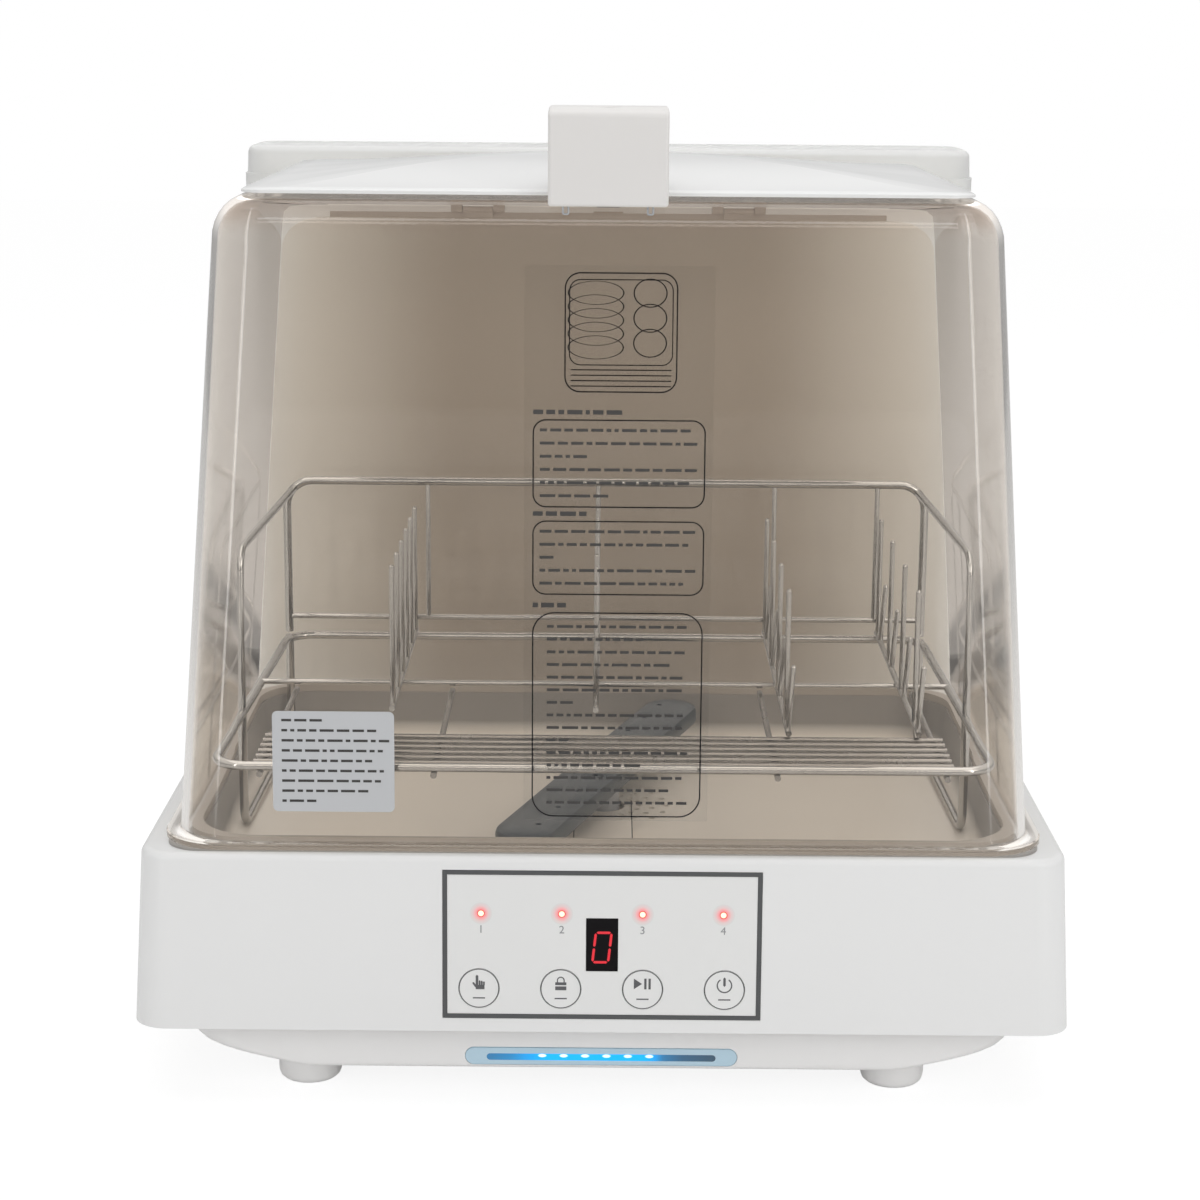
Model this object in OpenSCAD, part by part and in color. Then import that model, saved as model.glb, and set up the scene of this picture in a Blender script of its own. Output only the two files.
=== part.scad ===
// Countertop dishwasher: a white base with a shallow wash tub, a smoky flip-up
// hood with a crowned top panel, a wire dish rack and a water tank at the back.
// The origin is on the table under the middle of the machine, +Z up, -Y front.

/* [Base] */
// Width of the base over its lower edge
base_width = 434; // [410:1:460]
// Depth of the base from front to back
base_depth = 374; // [364:1:400]
// Height of the flat deck above the table
deck_height = 121; // [116:1:130]
// Height of the lower edge of the base shell
skirt_height = 38; // [36:1:42]
// How much each side of the base leans in from its lower edge to the deck
side_draft = 4; // [2:0.5:6]
// How much the front of the base leans back from its lower edge to the deck
front_draft = 4.5; // [3:0.5:6]
// Radius of the upright corners of the base
base_corner = 16; // [12:1:20]
// Wall of the base shell, the pan and the deck
base_wall = 2.5; // [2:0.1:3]

/* [Bottom pan and feet] */
// Height of the underside of the pan
pan_height = 13.5; // [12:0.5:15]
// Half width of the pan where it meets the base
pan_half_width = 196; // [190:1:200]
// Half width of the flat underside of the pan
pan_flat_half_width = 152; // [145:1:156]
// Distance of the pan behind the front of the base
pan_setback = 14; // [12:1:16]
// Diameter of each foot
foot_diameter = 30; // [26:1:34]
// Distance of the feet from the middle, to each side
foot_spread = 139; // [130:1:142]
// Distance of the front feet behind the front of the base
foot_setback = 40; // [36:1:50]

/* [Wash tub] */
// Half width of the tub inside, at the rim
tub_half_width = 188; // [185:1:190]
// Distance of the tub's front wall behind the front of the base
tub_setback = 19; // [18:1:21]
// Depth of the tub inside, from front to back
tub_length = 261; // [258:1:263]
// Height of the tub floor above the table
tub_floor = 98; // [94:1:100]
// Radius of the tub's upright corners
tub_corner = 30; // [24:1:36]
// Wall of the tub
tub_wall = 2; // [1.6:0.1:2.4]
// Thickness of the tub flange that lies on the deck
tub_flange = 1; // [0.8:0.1:1.4]

/* [Spray arm] */
// Distance of the spray arm's axis behind the front of the base
arm_setback = 151; // [150:1:160]
// Length of the spray arm from tip to tip
arm_length = 252; // [230:1:266]
// Width of the spray arm
arm_width = 29; // [24:1:32]
// Thickness of the spray arm
arm_thickness = 11; // [9:0.5:12]
// Height of the underside of the spray arm
arm_height = 112; // [110:0.5:116]
// Angle of the spray arm at rest, from the side-to-side line
arm_angle = 71; // [60:1:80]

/* [Hood] */
// Width of the hood at its flange, without the flange
hood_width = 394; // [388:1:398]
// Width of the hood where its shoulders start
hood_top_width = 355; // [348:1:360]
// Distance of the hood's foot behind the front of the base
hood_setback = 12; // [11:0.5:13]
// How much the front of the hood leans back up to its shoulders
hood_lean = 9; // [7:0.5:11]
// Height of the flat top of the tinted hood
hood_height = 418; // [410:1:424]
// Radius of the hood's shoulders
hood_shoulder = 22; // [18:1:26]
// How far the front edge rounds back under the top panel
front_round = 6; // [4:0.5:7]
// Radius of the hood's upright corners
hood_corner = 26; // [24:1:28]
// Wall of the hood
hood_wall = 2.5; // [2:0.1:3]
// Distance of the hood's rear edge behind the front of the base
hood_reach = 286; // [285:0.5:287]
// Width of the flange round the foot of the hood
hood_flange = 6.5; // [5:0.5:7]
// Thickness of that flange
flange_thickness = 3; // [2.5:0.25:3.5]

/* [Top panel and handle] */
// Width of the white top panel
panel_width = 326; // [316:1:330]
// Height of the panel's crown above the hood
panel_crown = 14.5; // [11:0.5:16]
// Distance of the crown behind the front of the base
crown_setback = 95; // [85:1:110]
// Thickness of the panel at its side edges
panel_edge = 1.5; // [1:0.1:2]
// Wall of the top panel
panel_wall = 2.5; // [2:0.1:3]
// Width of the handle
handle_width = 52.5; // [48:0.5:58]
// Height of the handle over all
handle_height = 42.5; // [40:0.5:46]
// Depth of the handle from front to back
handle_depth = 32; // [28:1:38]
// How far the handle hangs below the flat top of the hood
handle_drop = 4; // [3:0.5:8]
// Distance of the handle behind the front of the base
handle_setback = 14; // [13:0.5:15]

/* [Hinge and rear wall] */
// Distance of the hinge axis behind the front of the base
hinge_setback = 283; // [282:0.5:284]
// How far the hinge axis lies below the flat top of the hood
hinge_drop = 11; // [10:0.5:13]
// Distance of the middle of each hinge from the middle of the machine
hinge_spread = 70; // [60:1:80]
// Radius of the hinge pins
hinge_pin_radius = 3; // [2.5:0.1:3.2]
// Running clearance round the hinge pins
pin_clearance = 0.08; // [0.05:0.01:0.1]
// How far the tinted rear wall ends below the flat top of the hood
wall_drop = 23; // [22:1:30]
// Thickness of the tinted rear wall
wall_thickness = 3; // [2.5:0.1:3.5]

/* [Water tank] */
// Width of the water tank
tank_width = 398; // [390:1:404]
// Depth of the water tank
tank_depth = 65; // [55:1:66]
// Distance of the tank behind the front of the base
tank_setback = 301; // [300:0.5:302]
// How far the seam of the tank lies below the flat top of the hood
tank_drop = 7; // [2:1:18]
// Height of the lid
lid_height = 15; // [12:0.5:18]
// Wall of the tank and its lid
tank_wall = 2; // [1.6:0.1:2.4]

/* [Rack] */
// Radius of the rack's frame wires
frame_wire = 2.2; // [1.9:0.1:2.5]
// Radius of the rack's thin wires
thin_wire = 1.5; // [1.2:0.1:1.7]
// Half width of the rack at the front
rack_half_width = 180; // [174:1:181]
// Half width of the rack at the back
rack_rear_half_width = 174; // [168:1:176]
// Height of the lower frame of the rack
rack_height = 158; // [150:1:164]
// Height of the upper rail of the rack
rack_rail_height = 246; // [236:1:256]
// Height of the tips of the plate tines
plate_tine_top = 233; // [225:1:238]
// Height of the tips of the tall bowl tines
bowl_tine_top = 228; // [220:1:234]
// Height of the tips of the short bowl tines
short_tine_top = 194; // [188:1:200]

/* [Control panel] */
// Width of the control panel over its grey border
panel_face_width = 146; // [140:1:152]
// Height of the control panel over its grey border
panel_face_height = 70; // [66:1:72]
// Height of the panel's lower edge above the lower edge of the base
panel_rise = 6.5; // [5:0.5:8]
// Width of the grey border line
border_line = 1.9; // [1.5:0.1:2.4]
// Diameter of the round keys
key_diameter = 18.5; // [16:0.5:20]
// Distance between the middles of two neighbouring keys
key_pitch = 37.6; // [34:0.2:40]
// Height of the keys above the panel's lower edge
key_rise = 14.2; // [13:0.2:15]
// How far a key moves when it is pressed
key_travel = 0.5; // [0.3:0.1:0.8]
// Height of the lamps above the panel's lower edge
lamp_rise = 49.8; // [46:0.2:52]
// Distance between the middles of two neighbouring lamps
lamp_pitch = 37; // [34:0.2:40]
// Width of the light strip under the panel
light_width = 127; // [120:1:132]

/* [Hidden] */
$fn = 48;

white = [0.93, 0.93, 0.92];
frost = [0.88, 0.90, 0.91, 0.8];
smoke = [0.42, 0.35, 0.29, 0.45];
steel = [0.75, 0.75, 0.74];
slate = [0.24, 0.29, 0.34];
black = [0.10, 0.10, 0.11];
grey = [0.62, 0.63, 0.65];
green = [0.10, 0.36, 0.22];

slice = 0.01;          // thickness of the slices that a hull is drawn through
gap = 0.3;             // running gap between pieces that move past each other
fit = 0.2;             // assembly clearance round a piece in its recess
front_y = -base_depth / 2;
rear_y = base_depth / 2;
half_width = base_width / 2;
deck_under = deck_height - base_wall;
handle_base = hood_height - handle_drop;
hinge_height = hood_height - hinge_drop;
wall_top = hood_height - wall_drop;
tank_seam = hood_height - tank_drop;
function back(distance) = front_y + distance;
function mix(a, b, t) = a + (b - a) * t;

// Upright stack of rounded slices; each level is [z, half width, front y, rear y, corner radius].
module slices(levels, sides = 48) {
    hull()
        for (level = levels, side = [-1, 1], y = [level[2] + level[4], level[3] - level[4]])
            translate([side * (level[1] - level[4]), y, level[0]])
                cylinder(h = slice, r = level[4], $fn = sides);
}

// Flat plate with rounded corners, from front_edge to rear_edge.
module plate(half, front_edge, rear_edge, radius, height) {
    linear_extrude(height)
        rounded_outline(half, front_edge, rear_edge, radius);
}

module rounded_outline(half, front_edge, rear_edge, radius) {
    translate([-half + radius, front_edge])
        square([2 * (half - radius), rear_edge - front_edge]);
    translate([-half, front_edge + radius])
        square([2 * half, rear_edge - front_edge - 2 * radius]);
    for (side = [-1, 1], y = [front_edge + radius, rear_edge - radius])
        translate([side * (half - radius), y])
            circle(r = radius);
}

// Round bar between two points.
module rod(a, b, radius) {
    d = b - a;
    translate(a)
        rotate([0, acos(d[2] / norm(d)), atan2(d[1], d[0])])
            cylinder(h = norm(d), r = radius, $fn = 24);
}

// Bent wire through a list of points, swept as a tube with mitred bends.
wire_sides = 10;
function unit(v) = v / norm(v);
function heading(points, i) = unit(points[i + 1] - points[i]);
// Carries a direction square to the wire from one stretch to the next.
function carried(across, from, to) = across - (across * to) / (1 + from * to) * (from + to);
function across_list(points, across, i = 0) =
    i == len(points) - 2 ? [across]
        : concat([across], across_list(points,
            carried(across, heading(points, i), heading(points, i + 1)), i + 1));
function ring(centre, along, across, cut, radius) = [
    for (k = [0 : wire_sides - 1])
        let (a = (k + 0.5) * 360 / wire_sides,
             o = radius * (cos(a) * across + sin(a) * cross(along, across)))
            centre + o - along * (o * cut) / (along * cut)
];

module wire(points, radius) {
    last = len(points) - 1;
    first_way = heading(points, 0);
    start = unit(cross(first_way, abs(first_way[2]) > 0.9 ? [1, 0, 0] : [0, 0, 1]));
    acrosses = across_list(points, start);
    rings = [
        for (i = [0 : last])
            let (stretch = max(0, i - 1),
                 along = heading(points, stretch),
                 cut = i == 0 || i == last ? along
                     : unit(heading(points, i - 1) + heading(points, i)))
                ring(points[i], along, acrosses[stretch], cut, radius)
    ];
    count = wire_sides;
    polyhedron(
        points = [for (r = rings, p = r) p],
        faces = concat(
            [[for (k = [0 : count - 1]) k]],
            [[for (k = [0 : count - 1]) last * count + count - 1 - k]],
            [for (i = [0 : last - 1], k = [0 : count - 1])
                let (n = (k + 1) % count)
                    [i * count + n, i * count + k, (i + 1) * count + k, (i + 1) * count + n]]
        )
    );
}

// ---- Base ----

deck_half_width = half_width - side_draft;
deck_front = back(front_draft);
front_rise = deck_height - skirt_height;
edge_round = 3.5;      // rounding of the deck's outer edge
face_lean = atan(front_draft / (front_rise - edge_round));

function base_levels(inset, top, round) = [
    [skirt_height - (inset > 0 ? 1 : 0), half_width - inset, front_y + inset,
        rear_y - inset, base_corner - inset],
    [top - round, deck_half_width - inset, deck_front + inset,
        rear_y - inset, base_corner - inset],
    [top - round * 0.3, deck_half_width - inset - round * 0.3, deck_front + inset + round * 0.3,
        rear_y - inset - round * 0.3, base_corner - inset],
    [top - slice, deck_half_width - inset - round, deck_front + inset + round,
        rear_y - inset - round, base_corner - inset]
];

// Places children on the leaning front face: x across, y into the machine, z up the face.
module on_face() {
    translate([0, front_y, skirt_height])
        rotate([-face_lean, 0, 0])
            children();
}

tub_front = back(tub_setback);
tub_rear = tub_front + tub_length;
tub_clear = tub_wall + 0.5;   // deck opening round the tub

recess_depth = 1.5;           // depth of the panel's recess in the front wall
ledge = 4;                    // ledge that the panel plate rests on
vent_count = 9;
vent_pitch = 8;
vent_x = 96;                  // middle of the vent slots in the back
inlet_x = 150;
inlet_z = 66;
outlet_x = -150;
outlet_z = 62;
outlet_radius = 8;

module face_slab(width, height, low, from, to) {
    translate([-width / 2, from, low])
        cube([width, to - from, height]);
}

module base_shell() {
    color(white)
        difference() {
            slices(base_levels(0, deck_height, edge_round));
            slices(base_levels(base_wall, deck_under, 1));
            translate([0, 0, deck_under - 1])
                plate(tub_half_width + tub_clear, tub_front - tub_clear, tub_rear + tub_clear,
                    tub_corner + tub_clear, base_wall + 2);
            on_face() {
                face_slab(panel_face_width + 2 * fit, panel_face_height + 2 * fit,
                    panel_rise - fit, -1, recess_depth);
                face_slab(panel_face_width - 2 * ledge, panel_face_height - 2 * ledge,
                    panel_rise + ledge, 0, base_wall + 2);
            }
            for (i = [0 : vent_count - 1])
                translate([vent_x - i * vent_pitch, rear_y - base_wall - 1, 50])
                    cube([3, base_wall + 2, 40]);
            translate([inlet_x - inlet_half_width, rear_y - base_wall - 1, inlet_z - inlet_half_height])
                cube([2 * inlet_half_width, base_wall + 2, 2 * inlet_half_height]);
            translate([outlet_x, rear_y + 1, outlet_z])
                rotate([90, 0, 0])
                    cylinder(h = base_wall + 2, r = outlet_radius);
            translate([tank_port_x, tank_port_y, deck_under - 1])
                cylinder(h = base_wall + 2, r = port_radius + fit);
        }
}

pan_top = skirt_height;
pan_front = back(pan_setback);
pan_rear = rear_y - pan_setback;
pan_corner = 24;

function pan_levels(inset, drop) = [
    [pan_top + (inset > 0 ? 1 : -slice), pan_half_width - inset, pan_front + inset,
        pan_rear - inset, pan_corner - inset],
    [mix(pan_height, pan_top, 0.43) + drop, pan_half_width - 6 - inset, pan_front + inset,
        pan_rear - inset, pan_corner - inset],
    [pan_height + 2 + drop, pan_flat_half_width + 8 - inset, pan_front + inset,
        pan_rear - 6 - inset, pan_corner - inset],
    [pan_height + drop, pan_flat_half_width - inset, pan_front + 4 + inset,
        pan_rear - 14 - inset, pan_corner - inset]
];

light_height = 8.4;
light_low = pan_height + 2.6;
screw_spread_x = 140;
screw_spread_y = 120;
screw_radius = 2;
boss_radius = 5;
module pan_screw_places() {
    for (side = [-1, 1], y = [-screw_spread_y, screw_spread_y])
        translate([side * screw_spread_x, y, 0])
            children();
}

module light_outline(clearance) {
    radius = light_height / 2 + clearance;
    for (side = [-1, 1])
        translate([side * (light_width - light_height) / 2, 0])
            circle(r = radius);
    square([light_width - light_height, 2 * radius], center = true);
}

module through_pan_front(from, depth) {
    translate([0, pan_front + from + depth, light_low + light_height / 2])
        rotate([90, 0, 0])
            linear_extrude(depth)
                children();
}

module bottom_pan() {
    color(white)
        difference() {
            union() {
                difference() {
                    slices(pan_levels(0, 0));
                    slices(pan_levels(base_wall, base_wall));
                }
                // Flange that carries the pan on the inside of the base shell.
                translate([0, 0, skirt_height])
                    difference() {
                        plate(half_width - base_wall - 2 * fit, front_y + base_wall + 2 * fit,
                            rear_y - base_wall - fit, base_corner, base_wall);
                        translate([0, 0, -1])
                            plate(pan_half_width - base_wall, pan_front + base_wall,
                                pan_rear - base_wall, pan_corner, base_wall + 2);
                    }
                pan_screw_places()
                    translate([0, 0, pan_height])
                        cylinder(h = 14, r = boss_radius);
            }
            pan_screw_places()
                translate([0, 0, pan_height - 1])
                    cylinder(h = 20, r = screw_radius + 0.1);
            pan_screw_places()
                translate([0, 0, pan_height - 1])
                    cylinder(h = 3, r = 2 * screw_radius + 0.2);
            through_pan_front(-1, base_wall + 2)
                light_outline(fit);
        }
}

module pan_screws() {
    color(steel)
        pan_screw_places() {
            translate([0, 0, pan_height + 0.4])
                cylinder(h = 1.6, r = 2 * screw_radius);
            translate([0, 0, pan_height + 2])
                cylinder(h = 11, r = screw_radius);
        }
}

module feet() {
    foot_y = back(foot_setback);
    color(white)
        for (side = [-1, 1], y = [foot_y, -foot_y])
            translate([side * foot_spread, y, 0]) {
                cylinder(h = 3, r1 = foot_diameter / 2 - 2.5, r2 = foot_diameter / 2);
                translate([0, 0, 3])
                    cylinder(h = pan_height - 3, r = foot_diameter / 2);
            }
}

// ---- Wash tub ----

arm_y = back(arm_setback);
rim_top = deck_height + tub_flange;
tub_draft = 3;         // how much the tub floor is smaller than its rim, on each side
stem_radius = 8;
filter_radius = 40;
filter_recess = 6;     // depth of the recess that the filter lies over
probe_x = [-120, -104];
probe_y = tub_front + 30;
probe_radius = 2;

function tub_levels(out, low) = [
    [low, tub_half_width - tub_draft + out, tub_front + tub_draft - out,
        tub_rear - tub_draft + out, tub_corner - tub_draft + out],
    [rim_top + (out > 0 ? -slice : 1), tub_half_width + out, tub_front - out,
        tub_rear + out, tub_corner + out]
];

module wash_tub() {
    color(white)
        difference() {
            union() {
                slices(tub_levels(tub_wall, tub_floor - tub_wall));
                translate([0, 0, deck_height])
                    plate(hood_width / 2 + 4, back(hood_setback) - 3, back(hood_reach) - 1,
                        base_corner, tub_flange);
                translate([0, arm_y, tub_floor - tub_wall - filter_recess])
                    cylinder(h = filter_recess + 1, r = filter_radius + tub_wall);
            }
            slices(tub_levels(0, tub_floor));
            translate([0, arm_y, tub_floor - filter_recess])
                cylinder(h = filter_recess + 1, r = filter_radius + fit);
            translate([0, arm_y, tub_floor - 20])
                cylinder(h = 30, r = stem_radius + fit);
            translate([pump_x, pump_port_y, tub_floor - 20])
                cylinder(h = 30, r = port_radius);
            for (x = probe_x)
                translate([x, probe_y, tub_floor - 10])
                    cylinder(h = 20, r = probe_radius + fit);
            duct_mouth();
        }
}

gasket_gap = 1;        // from the tub's rim to the seal
gasket_side = 4.3;     // width of the seal at the sides
gasket_height = 4;
module tub_gasket() {
    outer = tub_half_width + gasket_gap + gasket_side;
    front_edge = back(hood_setback) + hood_wall + 1.2;
    color(black)
        translate([0, 0, rim_top])
            difference() {
                plate(outer, front_edge, back(hood_reach) - 4, hood_corner, gasket_height);
                translate([0, 0, -1])
                    plate(tub_half_width + gasket_gap, tub_front - 0.6, tub_rear + 0.4,
                        tub_corner, gasket_height + 2);
            }
}

module filter_plate() {
    color(steel)
        translate([0, arm_y, tub_floor - 1.2])
            difference() {
                cylinder(h = 1.2, r = filter_radius);
                translate([0, 0, -1])
                    cylinder(h = 4, r = stem_radius + 3);
                for (ring = [0 : 2], i = [0 : 17])
                    rotate(i * 20 + ring * 10)
                        translate([18 + ring * 7, 0, -1])
                            cylinder(h = 4, r = 1.6, $fn = 16);
            }
}

channel_half_width = 14;
module feed_channel() {
    front_edge = tub_front + tub_draft + 3;
    color(white)
        translate([-channel_half_width, front_edge, tub_floor])
            difference() {
                cube([2 * channel_half_width, arm_y - filter_radius - front_edge - 1, 6]);
                translate([1.5, 1.5, -1])
                    cube([2 * channel_half_width - 3, arm_y - filter_radius - front_edge - 4, 5.5]);
            }
}

module tub_probes() {
    color(steel)
        for (x = probe_x)
            translate([x, probe_y, tub_floor - 8]) {
                cylinder(h = 18, r = probe_radius);
                cylinder(h = 8 - tub_wall, r = 5);
            }
}

// ---- Spray arm ----

arm_rest = arm_height - gap;        // shoulder of the stem just below the arm
hub_radius = 13;
bearing_radius = 5;

module spray_stem() {
    color(grey)
        translate([0, arm_y, 0])
            difference() {
                union() {
                    translate([0, 0, tub_floor - filter_recess - 8])
                        cylinder(h = arm_rest - tub_floor + filter_recess + 8, r = stem_radius);
                    translate([0, 0, arm_rest - slice])
                        cylinder(h = arm_thickness + gap + 2, r = bearing_radius);
                }
                translate([0, 0, tub_floor - 30])
                    cylinder(h = 60, r = 3);
            }
}

nozzle_pitch = 27;
module spray_arm() {
    tip = arm_length / 2 - arm_width / 2;
    color(slate)
        translate([0, arm_y, arm_height])
            rotate(arm_angle)
                difference() {
                    union() {
                        translate([-tip, -arm_width / 2, 0])
                            cube([2 * tip, arm_width, arm_thickness - 1]);
                        for (side = [-1, 1])
                            translate([side * tip, 0, 0])
                                cylinder(h = arm_thickness - 1, r = arm_width / 2);
                        cylinder(h = arm_thickness, r = hub_radius);
                    }
                    translate([0, 0, -1])
                        cylinder(h = arm_thickness + 2, r = bearing_radius + pin_clearance);
                    for (side = [-1, 1], i = [1 : 4])
                        translate([side * i * nozzle_pitch, side * 5, arm_thickness - 4])
                            cylinder(h = 8, r = 1.5, $fn = 20);
                }
}

module spray_cap() {
    color(slate)
        translate([0, arm_y, arm_height + arm_thickness + gap]) {
            difference() {
                cylinder(h = 7, r1 = 10, r2 = 8);
                translate([0, 0, -1])
                    cylinder(h = 2.7 + slice, r = bearing_radius);
            }
        }
}

// ---- Pumps, heater and hoses under the tub ----

works_floor = pan_height + base_wall;     // inside of the pan
pump_x = 78;
pump_y = arm_y + 60;
pump_port_y = arm_y + 20;
port_radius = 6;
pump_radius = 34;
pump_low = 60;
pump_high = 84;
motor_radius = 27;
shaft_radius = 3;
impeller_radius = 24;

module wash_pump_housing() {
    color(grey)
        difference() {
            union() {
                translate([pump_x, pump_y, pump_low])
                    cylinder(h = pump_high - pump_low, r = pump_radius);
                translate([pump_x, pump_port_y, pump_low + 8])
                    cylinder(h = tub_floor - tub_wall - pump_low - 8, r = port_radius + 2);
            }
            translate([pump_x, pump_y, pump_low + 3])
                cylinder(h = pump_high - pump_low - 6, r = impeller_radius + 3);
            translate([pump_x, pump_y, pump_low - 1])
                cylinder(h = 8, r = shaft_radius + pin_clearance);
            translate([pump_x, pump_port_y, pump_high - 6])
                cylinder(h = 30, r = port_radius - 2);
        }
}

module wash_pump_motor() {
    color(black)
        translate([pump_x, pump_y, works_floor])
            difference() {
                cylinder(h = pump_low - works_floor, r = motor_radius);
                translate([0, 0, 20])
                    cylinder(h = 60, r = shaft_radius + pin_clearance);
            }
}

module wash_pump_impeller() {
    color(slate)
        translate([pump_x, pump_y, 0]) {
            translate([0, 0, works_floor + 20 + gap])
                cylinder(h = pump_high - works_floor - 28, r = shaft_radius);
            translate([0, 0, pump_low + 5])
                cylinder(h = 2, r = impeller_radius);
            for (i = [0 : 5])
                rotate(i * 60)
                    translate([shaft_radius - 1, -0.8, pump_low + 7 - slice])
                        cube([impeller_radius - shaft_radius - 1, 1.6, 8]);
        }
}

hose_radius = 8;
stem_low = tub_floor - filter_recess - 8;
module wash_hose() {
    hose_z = pump_low + 12;
    color(black)
        difference() {
            union() {
                wire([[0, arm_y, hose_z], [pump_x - 40, pump_y - 6, hose_z],
                    [pump_x - pump_radius, pump_y - 2, hose_z]], hose_radius);
                translate([0, arm_y, hose_z])
                    cylinder(h = stem_low - hose_z, r = hose_radius);
            }
            translate([pump_x, pump_y, pump_low - 1])
                cylinder(h = 40, r = pump_radius);
        }
}

heater_y = arm_y - 75;
module heater() {
    color(steel)
        translate([-60, heater_y, works_floor + 18])
            rotate([0, 90, 0])
                cylinder(h = 120, r = 16);
    color(black)
        for (x = [-50, 40])
            translate([x, heater_y - 10, works_floor])
                difference() {
                    cube([8, 20, 12]);
                    translate([-1, 10, 18])
                        rotate([0, 90, 0])
                            cylinder(h = 10, r = 16 - slice);
                }
}

drain_x = -90;
drain_y = arm_y + 60;
drain_radius = 22;
drain_high = 62;
module drain_pump_body() {
    color(grey)
        translate([drain_x, drain_y, works_floor])
            difference() {
                cylinder(h = drain_high - works_floor, r = drain_radius);
                translate([0, 0, 26])
                    cylinder(h = 14, r = 17);
                translate([0, 0, 12])
                    cylinder(h = 16, r = 2 + pin_clearance);
            }
}

module drain_pump_impeller() {
    color(slate)
        translate([drain_x, drain_y, works_floor]) {
            translate([0, 0, 12 + gap])
                cylinder(h = 24, r = 2);
            translate([0, 0, 27])
                cylinder(h = 2, r = 14);
            for (i = [0 : 3])
                rotate(i * 90)
                    translate([1, -0.8, 29 - slice])
                        cube([13, 1.6, 7]);
        }
}

module drain_hose() {
    hose_z = works_floor + 33;
    color(black)
        difference() {
            wire([[drain_x, drain_y, hose_z], [outlet_x, drain_y + 40, hose_z],
                [outlet_x, rear_y - 30, outlet_z], [outlet_x, rear_y - 14, outlet_z]], 6);
            translate([drain_x, drain_y, 0])
                cylinder(h = 100, r = drain_radius);
            translate([outlet_x, rear_y + 20, outlet_z])
                rotate([90, 0, 0])
                    cylinder(h = 38, r = outlet_radius + 4);
        }
}

module drain_outlet() {
    color(grey)
        translate([outlet_x, rear_y, outlet_z])
            rotate([90, 0, 0])
                difference() {
                    union() {
                        cylinder(h = 18, r = outlet_radius - fit);
                        translate([0, 0, base_wall])
                            cylinder(h = 3, r = outlet_radius + 4);
                    }
                    translate([0, 0, -1])
                        cylinder(h = 14, r = 5);
                }
}

tank_front = back(tank_setback);
tank_rear = tank_front + tank_depth;
tank_port_x = -60;
port_inset = 22;        // from the tank's front to its outlet
tank_port_y = tank_front + port_inset;
inlet_pump_high = 70;
module inlet_pump() {
    color(black)
        translate([tank_port_x, tank_port_y, works_floor])
            cylinder(h = inlet_pump_high - works_floor, r = 18);
}

module tank_outlet() {
    color(grey)
        translate([tank_port_x, tank_port_y, inlet_pump_high])
            difference() {
                cylinder(h = deck_height - inlet_pump_high, r = port_radius);
                translate([0, 0, 5])
                    cylinder(h = 100, r = port_radius - 2);
            }
}

// ---- Drying fan ----

fan_x = 62;
fan_size = 60;
fan_depth = 18;
fan_front = rear_y - base_wall - 2 - fan_depth;
fan_z = 72;
duct_x = fan_x;
duct_half = 25;

module duct_mouth() {
    translate([duct_x - duct_half, tub_rear - 8, tub_floor + 9])
        cube([2 * duct_half, 30, 10]);
}

module fan_housing() {
    color(black)
        translate([fan_x, fan_front, fan_z])
            rotate([-90, 0, 0])
                difference() {
                    translate([-fan_size / 2, -fan_size / 2, 0])
                        cube([fan_size, fan_size, fan_depth]);
                    translate([0, 0, 3])
                        cylinder(h = fan_depth, r = fan_size / 2 - 2);
                    translate([0, 0, -1])
                        cylinder(h = 6, r = 4 + pin_clearance);
                    for (i = [0 : 5])
                        rotate(i * 60 + 30)
                            translate([17, 0, -1])
                                cylinder(h = 6, r = 6, $fn = 24);
                }
}

module fan_rotor() {
    color(slate)
        translate([fan_x, fan_front, fan_z])
            rotate([-90, 0, 0]) {
                translate([0, 0, 0.5])
                    cylinder(h = 5, r = 4);
                translate([0, 0, 4])
                    cylinder(h = fan_depth - 6, r = 11);
                for (i = [0 : 6])
                    rotate(i * 360 / 7)
                        translate([10, -0.8, 5])
                            cube([15, 1.6, fan_depth - 8]);
            }
}

module fan_duct() {
    duct_low = fan_z - 12;
    duct_top = tub_floor + 19;
    wall = 1.5;
    color(grey)
        difference() {
            translate([duct_x - duct_half - wall, tub_rear + tub_wall + 0.5, duct_low])
                cube([2 * (duct_half + wall), fan_front - tub_rear - tub_wall - 0.5, duct_top - duct_low + wall]);
            translate([duct_x - duct_half, tub_rear + tub_wall - 1, duct_low + wall])
                cube([2 * duct_half, fan_front - tub_rear - tub_wall + 2, duct_top - duct_low - wall]);
        }
}

// ---- Control panel ----

plate_width = panel_face_width - 2 * border_line - fit;
plate_height = panel_face_height - 2 * border_line - fit;
key_radius = key_diameter / 2;
key_thickness = 2;
board_gap = 8;         // distance of the control board behind the front face
board_thickness = 1.6;
display_width = 14.5;
display_height = 25;
display_rise = 22.8;
lamp_radius = 2;

module panel_frame() {
    color(grey)
        on_face()
            difference() {
                face_slab(panel_face_width, panel_face_height, panel_rise, -0.2, recess_depth);
                face_slab(panel_face_width - 2 * border_line, panel_face_height - 2 * border_line,
                    panel_rise + border_line, -2, recess_depth + 1);
            }
}

function key_x(index) = (index - 1.5) * key_pitch;
function lamp_x(index) = (index - 1.5) * lamp_pitch;

// Round hole or bar through the face, drawn along the face's own depth.
module through_face(x, rise, from, depth, radius) {
    translate([x, from, panel_rise + rise])
        rotate([-90, 0, 0])
            cylinder(h = depth, r = radius);
}

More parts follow.
